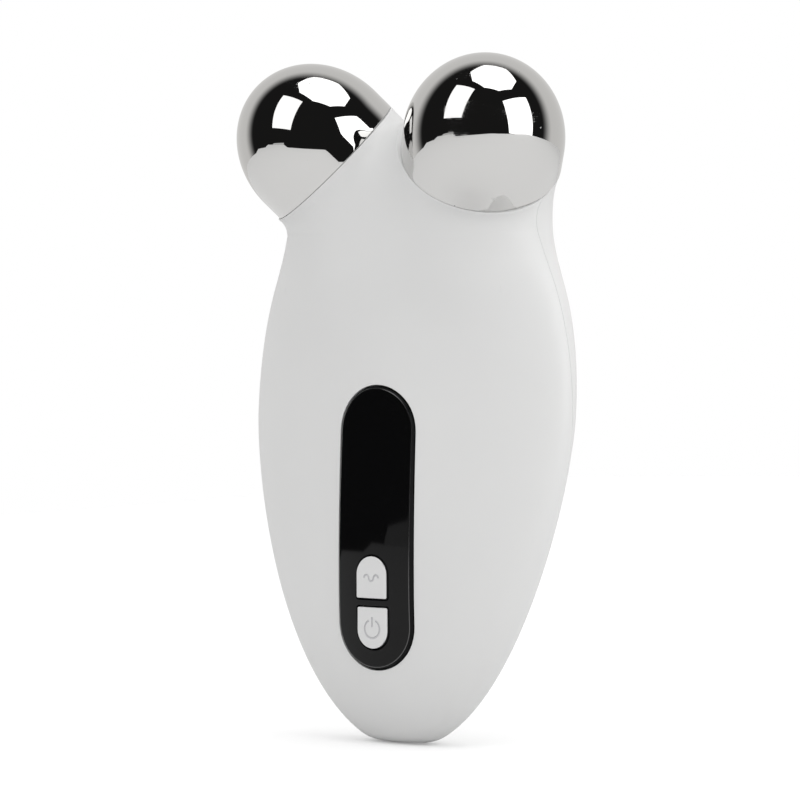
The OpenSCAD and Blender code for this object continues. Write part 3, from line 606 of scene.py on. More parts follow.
MODE_LOW = KEY_Z + KEY_GAP / 2
MODE_HIGH = MODE_LOW + MODE_H
POWER_HIGH = KEY_Z - KEY_GAP / 2
POWER_LOW = POWER_HIGH - POWER_H
MODE_MID = (MODE_LOW + MODE_HIGH) / 2 - CENTRE_SHIFT
POWER_MID = (POWER_LOW + POWER_HIGH) / 2 + CENTRE_SHIFT
POCKET_CHAMFER = 0.06
MOUTH_CHAMFER = 0.15
LENS_BACK = LENS_T - LENS_PROUD
LEDGE_FRONT = LENS_BACK + TAPE_T
BOARD_BACK = -SOCKET_H / 2 - FIT_CLEAR
BOARD_FRONT = BOARD_BACK - BOARD_T
DOWEL_SUNK = 1.0
DOWEL_BLIND = 0.3
DOWEL_ROOT = 3.0
PILOT_DEEP = 4.0
RIB_INSET = 2.0
CASE_SCREW_FRONTS = {z: float(front_y(np.array([z]))[0]) for z in CASE_SCREW_ZS}


def add_ledge(shell):
    """The ledge under the lens and the front shell's bosses."""
    for x in (-1, 1):
        face = surface_y(np.array([[BOARD_SCREW_X, BOARD_SCREW_Z], [DOWEL_X, DOWEL_Z]]))
        bm = bmesh.new()
        add_rods(bm, (x * BOARD_SCREW_X, BOARD_SCREW_Z, face[0] + SUNK, BOARD_FRONT,
                      BOARD_SCREW_D + 2 * BOSS_WALL),
                 (x * DOWEL_X, DOWEL_Z, face[1] + DOWEL_SUNK, PART_Y - SHY, DOWEL_D + 2 * DOWEL_WALL))
        cut(shell, bm, "UNION")
    bm = bmesh.new()
    add_plate(bm, lambda grow: lens_outline(LEDGE_W + grow), LENS_W / 2 + LEDGE_W,
              lambda places: front_line(places) + LEDGE_FRONT + LEDGE_T,
              lambda places: front_line(places) + LEDGE_FRONT - OVERLAP)
    cut(shell, bm, "UNION")
    bm = bmesh.new()
    add_rods(bm, *[(0, z, face + LEDGE_FRONT + OVERLAP, BOARD_FRONT, BOSS_D)
                   for z, face in CASE_SCREW_FRONTS.items()])
    cut(shell, bm, "UNION")


def cut_pocket(shell):
    """The lens's recess with a small chamfer at the surface; its floor follows the body's front line."""
    rings = [ring_on(front_line, lens_outline(POCKET_CLEAR - inset), LEDGE_FRONT)
             for inset in insets_to_edge(LENS_W / 2 + POCKET_CLEAR) + [0.0]]
    rings += [ring_on(surface_y, lens_outline(POCKET_CLEAR + grow), depth)
              for grow, depth in ((0, POCKET_CHAMFER), (POCKET_CHAMFER + STAND_OUT, -STAND_OUT))]
    rings.append([(x, FRONT_LIMIT, z) for x, _, z in rings[-1]])
    bm = bmesh.new()
    loops = loft(bm, rings, close_ends=False)
    bm.faces.new(loops[-1])
    bmesh.ops.remove_doubles(bm, verts=bm.verts, dist=WELD)
    cut(shell, bm)


def cut_openings(shell):
    """The windows for the display and the keys, and the holes of screws and dowels."""
    for outline in (window_outline(), key_window_outline()):
        bm = bmesh.new()
        add_prism(bm, outline, FRONT_LIMIT, BOARD_FRONT - WINDOW_SHY)
        cut(shell, bm)
    bm = bmesh.new()
    add_rods(bm, *[(0, z, face - OVERSHOOT, face + LEDGE_FRONT + HEAD_SUNK, HEAD_D + 2 * HEAD_CLEAR)
                   for z, face in CASE_SCREW_FRONTS.items()])
    cut(shell, bm)
    bm = bmesh.new()
    add_rods(bm, *[(0, z, face - OVERSHOOT, PART_Y, CASE_SCREW_D + 4 * FIT_CLEAR)
                   for z, face in CASE_SCREW_FRONTS.items()])
    for x in (-1, 1):
        add_rods(bm, (x * BOARD_SCREW_X, BOARD_SCREW_Z, BOARD_FRONT - BOARD_SCREW_L - BLIND, PART_Y,
                      BOARD_SCREW_D - 2 * FIT_CLEAR),
                 (x * DOWEL_X, DOWEL_Z, PART_Y - DOWEL_L - DOWEL_BLIND, PART_Y + OVERSHOOT,
                  DOWEL_D + 2 * FIT_CLEAR))
    cut(shell, bm)


def add_rear_bosses(shell):
    """The rear shell's screw bosses, dowels and the ribs behind the flat cell."""
    def back(x, z):
        return float(surface_y(np.array([[x, z]]), rear=True)[0])

    bm = bmesh.new()
    add_rods(bm, *[(0, z, BOARD_BACK, back(0, z) - SUNK, BOSS_D) for z in CASE_SCREW_ZS])
    for x in (-1, 1):
        deep = back(x * (DOWEL_X + DOWEL_D / 2 + DOWEL_WALL), DOWEL_Z) - SUNK
        add_rods(bm, (x * DOWEL_X, DOWEL_Z, PART_Y, deep, DOWEL_D + 2 * DOWEL_WALL))
        zs = [BATTERY_Z + RIB_INSET, BATTERY_Z + BATTERY_L / 2, BATTERY_Z + BATTERY_L - RIB_INSET]
        side = [(BATTERY_BACK, zs[0])] + [(back(RIB_X, z) - SUNK, z) for z in zs] + [(BATTERY_BACK, zs[2])]
        loft(bm, [[(x * RIB_X + offset, y, z) for y, z in side] for offset in (-RIB_W / 2, RIB_W / 2)])
    cut(shell, bm, "UNION")
    bm = bmesh.new()
    add_rods(bm, *[(x * DOWEL_X, DOWEL_Z, PART_Y - DOWEL_L, PART_Y + DOWEL_ROOT, DOWEL_D) for x in (-1, 1)])
    cut(shell, bm, "UNION")
    bm = bmesh.new()
    add_rods(bm, *[(0, z, BOARD_BACK - OVERSHOOT, PART_Y + PILOT_DEEP, CASE_SCREW_D - 2 * FIT_CLEAR)
                   for z in CASE_SCREW_ZS])
    cut(shell, bm)


def cut_axle_holes(shell):
    bm = bmesh.new()
    for side in (-1, 1):
        centre, normal = seat_plane(side)
        over = 2 * OVERSHOOT
        add_rod(bm, (centre - normal * (SEAT_WALL + over) * MM) / MM, (centre + normal * over * MM) / MM,
                AXLE_D + 2 * FIT_CLEAR)
    cut(shell, bm)


def cut_mouth(shell):
    """The charging port's mouth in the tail, chamfered."""
    bm = bmesh.new()
    levels = ((FLOOR_T + 2 * OVERSHOOT, 0), (MOUTH_CHAMFER, 0), (-STAND_OUT, MOUTH_CHAMFER + STAND_OUT))
    loft(bm, [[(x, y, z) for x, y in socket_outline(grow)] for z, grow in levels])
    cut(shell, bm)


# ---- rollers ----

RIM_ROUND = 0.1
ROUND_STEPS = 8
SKIRT_STEPS = 6
DOME_STEPS = 72
INNER_STEPS = 32
ROLLER_FACES = 192
ROLLER_CREASE = 35


def seat_frame(side):
    """Local frame on a seat: +Z along the roller's axis."""
    centre, axis = seat_plane(side)
    turn = axis.to_track_quat("Z", "Y").to_matrix().to_4x4()
    return Matrix.Translation(centre) @ turn


def dome(r, h, steps):
    return [(r * math.cos(t), SKIRT_H + h * math.sin(t)) for t in angles(0, math.pi / 2, steps)][:-1]


def roller_profile():
    """Inner wall from its top down, the round rim, and the outer wall up to the tip."""
    r, inner = ROLLER_D / 2, ROLLER_D / 2 - ROLLER_WALL
    inner_h = DOME_H - ROLLER_WALL
    profile = [(0, SKIRT_H + inner_h)] + dome(inner, inner_h, INNER_STEPS)[::-1] + [(inner, RIM_GAP)]
    profile += [(r - RIM_ROUND + RIM_ROUND * math.sin(t), RIM_GAP + RIM_ROUND - RIM_ROUND * math.cos(t))
                for t in angles(0, math.pi / 2, ROUND_STEPS)]
    profile += [(r, RIM_GAP + RIM_ROUND + (SKIRT_H - RIM_GAP - RIM_ROUND) * k / SKIRT_STEPS)
                for k in range(1, SKIRT_STEPS)]
    return profile + dome(r, DOME_H, DOME_STEPS) + [(0, SKIRT_H + DOME_H)]


def roller(side, word):
    bm = bmesh.new()
    lathe(bm, roller_profile(), ROLLER_FACES, seat_frame(side))
    return new_piece(f"{word}_roller_shell", bm, f"{word}_roller", ROLLER_CREASE)


# ---- lens and keys ----

EDGE_R = 0.22
EDGE_SHARE = 0.7
EDGE_DROP = 0.03
BEVEL_SPARE = 0.05
BEVEL_DEEP = 1.0
LENS_CUT_CHAMFER = 0.08
LENS_CUT_OUT = 0.5
FLAT_STEPS = 8
FIRST_CREASE = 40
LENS_CREASE = 28
KEY_CREASE = 35


def lens_face(places):
    """The lens's front: crowned across its width, and along its length like the body's front line."""
    x, z = places[:, 0], places[:, 1]
    return front_y(z) - LENS_PROUD + LENS_CROWN * (2 * x / LENS_W) ** 2


def key_outline(low, high, grow, round_top):
    """A key's outline: a half round at one end, two small corners at the other."""
    half = KEY_W / 2 + grow
    corner = KEY_CORNER + grow
    base, middle = low - grow, high + grow - half
    points = [(half * math.cos(t), middle + half * math.sin(t)) for t in angles(0, math.pi, 40)]
    turn = angles(math.pi, math.pi / 2, 6)
    points += [(-half + corner + corner * math.cos(t), base + corner + corner * math.sin(t)) for t in turn]
    flat = half - corner
    points += [(-flat + 2 * flat * k / FLAT_STEPS, base) for k in range(1, FLAT_STEPS)]
    points += [(half - corner - corner * math.cos(t), base + corner + corner * math.sin(t))
               for t in reversed(turn)]
    if round_top:
        return points
    return [(x, low + high - z) for x, z in reversed(points)]


def lens_edge():
    """The lens's front edge as (inset, depth): a round, the bevel, and a finer round up to the face."""
    edge = [(0.0, LENS_CHAMFER + EDGE_R)]
    for t in angles(0, math.pi / 4, 4)[1:]:
        edge.append((EDGE_R * (1 - math.cos(t)), LENS_CHAMFER + EDGE_R * (1 - math.sin(t)) - EDGE_DROP))
    for t in angles(math.pi / 4, math.pi / 4, 4):
        edge.append((LENS_CHAMFER - EDGE_R * math.cos(t) * EDGE_SHARE,
                     EDGE_R * (1 - math.sin(t)) * EDGE_SHARE))
    return edge


def dress_lens(plate):
    """Gloss for the face and the back, a duller bevel, and a painted highlight: a brighter, more reflective
    strip where the bevel meets the face.
    """
    dress(plate, "gloss_black", "bevel_black", "painted_highlight_edge")
    for polygon in plate.data.polygons:
        x, y, z = polygon.center / MM
        inset = LENS_W / 2 - math.hypot(x, max(abs(z - LENS_Z) - (LENS_L - LENS_W) / 2, 0))
        depth = y - float(lens_face(np.array([[x, z]]))[0])
        if inset < LENS_CHAMFER + BEVEL_SPARE and depth < LENS_CHAMFER + BEVEL_DEEP:
            # the strip between the bevel and the face takes the painted highlight material
            on_painted_highlight = abs(inset - LENS_CHAMFER) < BEVEL_SPARE + EDGE_R * EDGE_SHARE and depth < EDGE_R
            polygon.material_index = 2 if on_painted_highlight else 1


def lens():
    """The lens's plate with its bevelled rim and the two openings for the keys."""
    bm = bmesh.new()
    add_plate(bm, lens_outline, LENS_W / 2, lambda places: front_line(places) + LENS_BACK, lens_face,
              lens_edge())
    plate = new_piece("display_panel", bm, "handle", FIRST_CREASE)
    dress_lens(plate)
    steps = ((0.0, LENS_CUT_CHAMFER), (LENS_CUT_CHAMFER + LENS_CUT_OUT, -LENS_CUT_OUT))
    for low, high, round_top in KEYS.values():
        rings = [[(x, 0.0, z) for x, z in key_outline(low, high, KEY_CLEAR, round_top)]]
        rings += [ring_on(lens_face, key_outline(low, high, KEY_CLEAR + grow, round_top), depth)
                  for grow, depth in steps]
        rings.append([(x, FRONT_LIMIT, z) for x, _, z in rings[-1]])
        bm = bmesh.new()
        loft(bm, rings)
        cut(plate, bm)
    crease(plate, LENS_CREASE)


GROOVE_OUT = 0.3
GROOVE_FLOOR = 0.3


def groove(path, width, top, depth):
    """A cutter along a path on a flat face, with sides that lean in."""
    bm = bmesh.new()
    outer = width / 2 + GROOVE_OUT
    rings = []
    for k, (x, z) in enumerate(path):
        ahead = path[min(k + 1, len(path) - 1)]
        behind = path[max(k - 1, 0)]
        way = Vector((ahead[0] - behind[0], ahead[1] - behind[1])).normalized()
        side = Vector((-way[1], way[0]))
        ring = []
        for half, y in ((outer, top - GROOVE_OUT), (-outer, top - GROOVE_OUT),
                        (-width * GROOVE_FLOOR, top + depth), (width * GROOVE_FLOOR, top + depth)):
            ring.append((x + side[0] * half, y, z + side[1] * half))
        rings.append(ring)
    loft(bm, rings)
    return bm


WAVE_R = 0.45
RING_R = 1.4
RING_GAP = 26
STROKE_RISES = (0.3, 1.05, 1.8)
MARK_MARGIN = 0.4
MARK_REACH = 2.4
MARK_SKIN = 0.01


def wave_path(mid):
    """Three half rounds, up and down, as the mode mark."""
    path = []
    for k in (-1, 0, 1):
        for step in range(13):
            t = math.pi * (1 - step / 12)
            up = -math.sin(t) if k == 0 else math.sin(t)
            path.append((2 * k * WAVE_R + WAVE_R * math.cos(t), mid + WAVE_R * up))
    return [point for k, point in enumerate(path) if k == 0 or point != path[k - 1]]


def ring_path(mid):
    """A ring that is open at its top by a gap on each side, in degrees."""
    first, last = math.radians(90 + RING_GAP), math.radians(450 - RING_GAP)
    return [(RING_R * math.cos(t), mid + RING_R * math.sin(t)) for t in angles(first, last - first, 60)]


def key(name, body, mid, strokes):
    """A key with a soft edge, its flange, its post and an engraved mark."""
    low, high, round_top = KEYS[name]
    face = float(lens_face(np.array([[0.0, mid]]))[0]) - KEY_PROUD
    flange = LENS_BACK + FLANGE_GAP + float(front_y(np.array([low - FLANGE_W, high + FLANGE_W])).max())
    levels = [(KEY_EDGE_R * (1 - math.sin(t)), face + KEY_EDGE_R * (1 - math.cos(t)))
              for t in angles(0, math.pi / 2, 6)]
    levels += [(0.0, flange), (-FLANGE_W, flange), (-FLANGE_W, flange + FLANGE_T)]
    bm = bmesh.new()
    loft(bm, [[(x, y, z) for x, z in key_outline(low, high, -inset, round_top)] for inset, y in levels])
    piece = new_piece(name, bm, body, FIRST_CREASE)
    bm = bmesh.new()
    post_end = BOARD_FRONT - SWITCH_T - PLUNGER_OUT - FIT_CLEAR
    add_rods(bm, (0, mid, flange + FLANGE_T / 2, post_end, POST_D))
    cut(piece, bm, "UNION")
    for path in strokes:
        cut(piece, groove(path, MARK_W, face, MARK_T))
    crease(piece, KEY_CREASE)
    dress_key(piece, face, mid)


def dress_key(piece, face, mid):
    """White, with the engraved mark in grey, and all behind the soft edge painted black as the shade of the
    narrow gap round the key.
    """
    dress(piece, "key_white", "mark_grey", "soft_black_and_gap_shade")
    for polygon in piece.data.polygons:
        centre = polygon.center / MM
        # painted shade: the key's walls below its soft edge are black, standing for the shade in the narrow
        # gap
        if centre.y > face + KEY_EDGE_R:
            polygon.material_index = 2
        inside = abs(centre.x) < KEY_W / 2 - MARK_MARGIN and abs(centre.z - mid) < MARK_REACH
        if inside and face + MARK_SKIN < centre.y < face + MARK_T + 2 * MARK_SKIN:
            polygon.material_index = 1


# ---- shared effects, as node groups that put out values alone ----


def make_group(name, inputs, outputs):
    """An empty node group with float sockets; returns it with its two end nodes."""
    group = bpy.data.node_groups.new(name, "ShaderNodeTree")
    for socket, default in inputs:
        made = group.interface.new_socket(name=socket, in_out="INPUT", socket_type="NodeSocketFloat")
        made.default_value = default
    for socket in outputs:
        group.interface.new_socket(name=socket, in_out="OUTPUT", socket_type="NodeSocketFloat")
    ends = group.nodes.new("NodeGroupInput"), group.nodes.new("NodeGroupOutput")
    return group, *ends


def node(tree, kind, inputs=None, **settings):
    """A node with its settings; inputs are numbers to set or sockets to link."""
    made = tree.nodes.new(kind)
    for name, value in settings.items():
        setattr(made, name, value)
    for name, value in (inputs or {}).items():
        if isinstance(value, bpy.types.NodeSocket):
            tree.links.new(value, made.inputs[name])
        else:
            made.inputs[name].default_value = value
    return made


def math_node(tree, operation, a, b, clamp=False):
    return node(tree, "ShaderNodeMath", {0: a, 1: b}, operation=operation, use_clamp=clamp).outputs[0]


def own_place(tree):
    """Where a point lies on its own piece, in metres."""
    return node(tree, "ShaderNodeTexCoord").outputs["Object"]


def noise(tree, place, scale, detail, distortion=0.0):
    made = node(tree, "ShaderNodeTexNoise", {"Vector": place, "Scale": scale, "Detail": detail,
                                             "Distortion": distortion})
    return made.outputs["Fac"]


def moulded_grain():
    """The fine orange peel of moulded plastic: a height, and a faint cloud for its tone."""
    inputs = (("Size", 4000.0), ("Cloud size", 60.0))
    group, start, end = make_group("moulded_grain", inputs, ("Height", "Cloud"))
    place = own_place(group)
    group.links.new(noise(group, place, start.outputs["Size"], 3.0), end.inputs["Height"])
    group.links.new(noise(group, place, start.outputs["Cloud size"], 2.0), end.inputs["Cloud"])
    return group


def handling():
    """Where hands have been: roughness that drifts about a mean."""
    inputs = (("Roughness", 0.4), ("Drift", 0.1), ("Size", 90.0))
    group, start, end = make_group("handling", inputs, ("Roughness",))
    smear = noise(group, own_place(group), start.outputs["Size"], 4.0, distortion=0.6)
    swing = math_node(group, "SUBTRACT", smear, 0.5)
    swing = math_node(group, "MULTIPLY", swing, start.outputs["Drift"])
    rough = math_node(group, "ADD", swing, start.outputs["Roughness"], clamp=True)
    group.links.new(rough, end.inputs["Roughness"])
    return group


def hairlines():
    """Hair-thin scratches in two directions: a mask and a height."""
    group, start, end = make_group("hairlines", (("Size", 160.0), ("Thinness", 0.985)), ("Mask", "Height"))
    place = own_place(group)
    lines = []
    for turn in (0.5, 2.2):
        spun = node(group, "ShaderNodeMapping", {"Vector": place, "Rotation": (turn, 0.7 * turn, 1.3 * turn),
                                                 "Scale": (1.0, 1.0, 26.0)})
        streak = noise(group, spun.outputs["Vector"], start.outputs["Size"], 1.0)
        folded = math_node(group, "ABSOLUTE", math_node(group, "SUBTRACT", streak, 0.5), 0.0)
        thin = math_node(group, "SUBTRACT", 1.0, math_node(group, "MULTIPLY", folded, 60.0), clamp=True)
        gate = noise(group, place, math_node(group, "MULTIPLY", start.outputs["Size"], 0.8), 1.0)
        level = math_node(group, "MULTIPLY", start.outputs["Thinness"], 0.62)
        rare = math_node(group, "GREATER_THAN", gate, level)
        lines.append(math_node(group, "MULTIPLY", thin, rare))
    mask = math_node(group, "MAXIMUM", lines[0], lines[1])
    group.links.new(mask, end.inputs["Mask"])
    group.links.new(math_node(group, "SUBTRACT", 1.0, mask), end.inputs["Height"])
    return group


def dust():
    """Sparse specks."""
    group, start, end = make_group("dust", (("Size", 900.0), ("Speck", 0.12)), ("Mask",))
    place = own_place(group)
    cells = node(group, "ShaderNodeTexVoronoi", {"Vector": place, "Scale": start.outputs["Size"]})
    near = math_node(group, "LESS_THAN", cells.outputs["Distance"], start.outputs["Speck"])
    rare = math_node(group, "GREATER_THAN", noise(group, place, 260.0, 2.0), 0.66)
    group.links.new(math_node(group, "MULTIPLY", near, rare), end.inputs["Mask"])
    return group


GROUPS = {"grain": moulded_grain(), "handling": handling(), "hairlines": hairlines(), "dust": dust()}


def place_group(tree, which, **values):
    made = node(tree, "ShaderNodeGroup", node_tree=GROUPS[which])
    for name, value in values.items():
        made.inputs[name.replace("_", " ").capitalize()].default_value = value
    return made


# ---- materials ----

MATERIALS = {}
COAT_ROUGHNESS = 0.03
DUST_ROUGHNESS = 0.5
SCRATCH_ROUGHNESS = 0.12


def finish(name, colour, roughness, *, metallic=0.0, drift=0.08, drift_size=90.0, second=None, grain=0.0,
           grain_size=4000.0, scratches=0.0, specks=None, coat=0.0, ior=1.5, pattern=None):
    """Adds a principled material: handled roughness, and on demand a second tone, grain, hairlines, dust."""
    material = bpy.data.materials.new(name)
    material.use_nodes = True
    tree = material.node_tree
    shader = tree.nodes["Principled BSDF"]
    shader.inputs["Metallic"].default_value = metallic
    shader.inputs["Coat Weight"].default_value = coat
    shader.inputs["Coat Roughness"].default_value = COAT_ROUGHNESS
    shader.inputs["IOR"].default_value = ior
    worn = place_group(tree, "handling", roughness=roughness, drift=drift, size=drift_size)
    rough = worn.outputs["Roughness"]
    base = tone = height = None
    if grain or second:
        skin = place_group(tree, "grain", size=grain_size)
        tone = skin.outputs["Cloud"]
        height = skin.outputs["Height"] if grain else None
    if pattern:
        tone = pattern(tree)
    if second:
        base = mix_colour(tree, tone, colour, second)
    if specks:
        mask = place_group(tree, "dust").outputs["Mask"]
        base = mix_colour(tree, mask, base or colour, specks)
        rough = math_node(tree, "MAXIMUM", rough, math_node(tree, "MULTIPLY", mask, DUST_ROUGHNESS))
    if base:
        tree.links.new(base, shader.inputs["Base Color"])
    else:
        shader.inputs["Base Color"].default_value = (*colour, 1)
    depth = grain
    if scratches:
        lines = place_group(tree, "hairlines")
        duller = math_node(tree, "MULTIPLY", lines.outputs["Mask"], SCRATCH_ROUGHNESS)
        rough = math_node(tree, "ADD", rough, duller, clamp=True)
        height, depth = height or lines.outputs["Height"], grain or scratches
    tree.links.new(rough, shader.inputs["Roughness"])
    if height:
        bump = node(tree, "ShaderNodeBump", {"Strength": 1.0, "Distance": depth * MM, "Height": height})
        tree.links.new(bump.outputs["Normal"], shader.inputs["Normal"])
    MATERIALS[name] = material


def mix_colour(tree, mask, first, second):
    """Blends two colours, each a triple or a socket, by a mask."""
    made = tree.nodes.new("ShaderNodeMix")
    made.data_type = "RGBA"
    tree.links.new(mask, made.inputs["Factor"])
    for slot, value in ((6, first), (7, second)):
        if isinstance(value, bpy.types.NodeSocket):
            tree.links.new(value, made.inputs[slot])
        else:
            made.inputs[slot].default_value = (*value, 1)
    return made.outputs[2]


def copper_tracks(tree):
    """Tracks and pads of a circuit board under its lacquer."""
    place = own_place(tree)
    turned = node(tree, "ShaderNodeMapping", {"Vector": place, "Rotation": (math.pi / 2, 0, 0)})
    bricks = node(tree, "ShaderNodeTexBrick", {"Vector": turned.outputs["Vector"], "Scale": 420.0,
                                               "Mortar Size": 0.012, "Bias": -0.2})
    pads = node(tree, "ShaderNodeTexVoronoi", {"Vector": place, "Scale": 380.0})
    dot = math_node(tree, "LESS_THAN", pads.outputs["Distance"], 0.16)
    return math_node(tree, "MAXIMUM", bricks.outputs["Fac"], dot)


def wire_turns_painted_shade(tree):
    # painted shade: darker bands across the spring, standing for the shade between the turns of its wire
    wave = node(tree, "ShaderNodeTexWave", {"Vector": own_place(tree), "Scale": 900.0}, bands_direction="Z")
    return wave.outputs["Fac"]


def foil_crease_painted_shade(tree):
    # painted shade: a noise that darkens the foil's colour, standing for the shade in its creases
    return noise(tree, own_place(tree), 240.0, 3.0, distortion=1.2)


finish("moulded_white", (0.668, 0.668, 0.664), 0.44, second=(0.69, 0.69, 0.686), grain=0.004, drift=0.1,
       drift_size=70.0)
finish("key_white", (0.66, 0.66, 0.66), 0.36, second=(0.675, 0.675, 0.672), grain=0.003)
finish("mark_grey", (0.53, 0.53, 0.54), 0.6)
finish("gloss_black", (0.0028, 0.0028, 0.003), 0.04, drift=0.03, ior=1.3, scratches=0.0004)
finish("bevel_black", (0.003, 0.003, 0.0032), 0.32, ior=1.2, drift=0.04)
# painted highlight: a brighter colour and a high IOR on the strip where the lens's bevel meets its face
finish("painted_highlight_edge", (0.012, 0.012, 0.0125), 0.16, ior=1.95, drift=0.04)
finish("chrome", (0.645, 0.64, 0.63), 0.02, metallic=1.0, drift=0.02, drift_size=140.0, scratches=0.0004,
       specks=(0.5, 0.5, 0.5))
finish("steel", (0.5, 0.5, 0.49), 0.3, metallic=1.0, drift=0.15, scratches=0.002)
finish("brass", (0.66, 0.46, 0.2), 0.3, metallic=1.0, drift=0.15, second=(0.55, 0.36, 0.15))
# the spring's darker second colour is painted shade between its turns
finish("spring_steel", (0.45, 0.44, 0.42), 0.28, metallic=1.0, second=(0.2, 0.19, 0.18), pattern=wire_turns_painted_shade)
# the seals' own soft black, also used as painted shade on the keys' walls
finish("soft_black_and_gap_shade", (0.02, 0.02, 0.021), 0.72, grain=0.01, grain_size=2500.0, second=(0.03, 0.03, 0.03))
finish("tape_black", (0.025, 0.025, 0.026), 0.8, grain=0.02, grain_size=1800.0)
finish("foam_grey", (0.1, 0.1, 0.105), 0.9, grain=0.05, grain_size=1500.0, second=(0.14, 0.14, 0.145))
finish("display_glass", (0.01, 0.011, 0.014), 0.08, drift=0.04, second=(0.02, 0.022, 0.03))
finish("board_green", (0.01, 0.085, 0.035), 0.35, second=(0.035, 0.2, 0.08), pattern=copper_tracks,
       coat=0.4)
finish("chip_black", (0.018, 0.018, 0.019), 0.55, grain=0.006, grain_size=5000.0)
finish("ferrite", (0.05, 0.05, 0.055), 0.6, grain=0.01, grain_size=3000.0, second=(0.09, 0.09, 0.095))
finish("ceramic", (0.42, 0.3, 0.16), 0.4, second=(0.5, 0.38, 0.22))
# the foil's darker second colour is painted shade of its creases
finish("cell_foil", (0.42, 0.43, 0.44), 0.34, metallic=0.8, second=(0.3, 0.31, 0.32), pattern=foil_crease_painted_shade)
finish("red_lead", (0.45, 0.02, 0.02), 0.4, drift=0.1)
finish("blue_lead", (0.02, 0.04, 0.35), 0.4, drift=0.1)
finish("hub_nylon", (0.5, 0.5, 0.48), 0.5, grain=0.008, second=(0.56, 0.56, 0.54))
finish("bronze", (0.5, 0.3, 0.14), 0.38, metallic=1.0, second=(0.4, 0.22, 0.1), grain=0.004)

NODE_MATERIALS = {
    "moulded_white": ("front_shell", "rear_shell"),
    "key_white": ("mode_button", "power_button"),
    "gloss_black": ("display_panel",),
    "chrome": ("left_roller_shell", "right_roller_shell"),
    "tape_black": ("panel_adhesive",),
    "soft_black_and_gap_shade": ("button_seal", "left_seal", "right_seal"),
    "display_glass": ("display_module",),
    "board_green": ("main_board",),
    "steel": ("board_screws", "case_screws", "mode_switch", "power_switch", "charge_socket", "left_axle",
              "right_axle", "left_axle_nut", "right_axle_nut", "left_clip", "right_clip"),
    "chip_black": ("mode_switch_plunger", "power_switch_plunger", "control_chip", "charge_chip",
                   "charge_tongue"),
    "ferrite": ("inductor",),
    "ceramic": ("capacitors",),
    "cell_foil": ("battery",),
    "foam_grey": ("battery_tape",),
    "red_lead": ("battery_leads",),
    "blue_lead": ("left_electrode_lead", "right_electrode_lead"),
    "brass": ("left_lead_tag", "right_lead_tag"),
    "hub_nylon": ("left_roller_hub", "right_roller_hub"),
    "bronze": ("left_bushes", "right_bushes"),
    "spring_steel": ("left_contact_spring", "right_contact_spring"),
}


def dress(piece, *names):
    piece.data.materials.clear()
    for name in names:
        piece.data.materials.append(MATERIALS[name])


# ---- the device ----

KEYS = {"mode_button": (MODE_LOW, MODE_HIGH, True), "power_button": (POWER_LOW, POWER_HIGH, False)}


def build_shells():
    front = body_shell("front_shell", -1)
    add_ledge(front)
    cut_pocket(front)
    cut_openings(front)
    rear = body_shell("rear_shell", 1)
    add_rear_bosses(rear)
    for shell in (front, rear):
        cut_mouth(shell)
        cut_axle_holes(shell)
        crease(shell, SHELL_CREASE)
        dress(shell, "moulded_white")


def build_device():
    for material, nodes in NODE_MATERIALS.items():
        for name in nodes:
            dress(NODES[name], material)
    build_shells()
    for side, word in ((-1, "left"), (1, "right")):
        dress(roller(side, word), "chrome")
    lens()
    ring_mid = POWER_MID - MARK_SHIFT
    key("mode_button", "mode_key", MODE_MID, [wave_path(MODE_MID)])
    key("power_button", "power_key", POWER_MID,
        [ring_path(ring_mid), [(0, ring_mid + rise) for rise in STROKE_RISES]])


build_device()

# ---- camera, at the photograph's angle ----

CAMERA_TURN = math.radians(36.0)
CAMERA_RISE = math.radians(1.0)
CAMERA_ROLL = math.radians(-0.1)
CAMERA_DISTANCE = 0.5
CAMERA_LENS = 145.16
CAMERA_SENSOR = 36
CAMERA_CLIP = 0.01
AIM = Vector((-0.001463, 0.001413, 0.0529))
RIGHT = Vector((math.cos(CAMERA_TURN), math.sin(CAMERA_TURN), 0))
TOWARD = Vector((math.sin(CAMERA_TURN), -math.cos(CAMERA_TURN), 0))
UP = Vector((0, 0, 1))


def place_camera():
    toward = TOWARD * math.cos(CAMERA_RISE) + UP * math.sin(CAMERA_RISE)
    camera = bpy.data.objects.new("camera", bpy.data.cameras.new("camera"))
    bpy.context.scene.collection.objects.link(camera)
    camera.data.sensor_width = CAMERA_SENSOR
    camera.data.lens = CAMERA_LENS
    camera.data.clip_start = CAMERA_CLIP
    camera.location = AIM + toward * CAMERA_DISTANCE
    look = (-toward).to_track_quat("-Z", "Y").to_matrix() @ Matrix.Rotation(CAMERA_ROLL, 3, "Z")
    camera.rotation_euler = look.to_euler()
    bpy.context.scene.camera = camera


# ---- studio: a white table, a low card at its far edge, a room dark in front and above, three softboxes ----

WHITE = (1.0, 1.0, 1.0)
ROOM_COLOUR = (1.0, 0.99, 0.975)
ROOM_R = 1.4
SOFTBOX_R = ROOM_R - 0.2
ROOM_TURN = -0.08
WALL_TURN = -0.44
ROOM_TILT = (-0.08, 1.0, 0.12)
ROOM_LEVEL = 0.012
WALL_LEVEL = 0.74
FILL_LEVEL = 0.92
TABLE_GLOW = 0.3
TABLE_COLOUR = 0.69
TABLE_SHEEN = 0.1
TABLE_FADE = 0.09
FADE_FROM = 0.1
FADE_TO = 0.8
# corners as metres to the right and toward the camera
TABLE_CORNERS = ((-0.42, -0.18), (-0.5, -0.07), (-0.7, -0.02), (-0.72, 0.16), (-1.1, 0.36), (-0.84, 0.79),
                 (-0.46, 0.5), (0.10, 0.73), (0.95, 0.50), (0.95, -1.0), (0.05, -1.0))
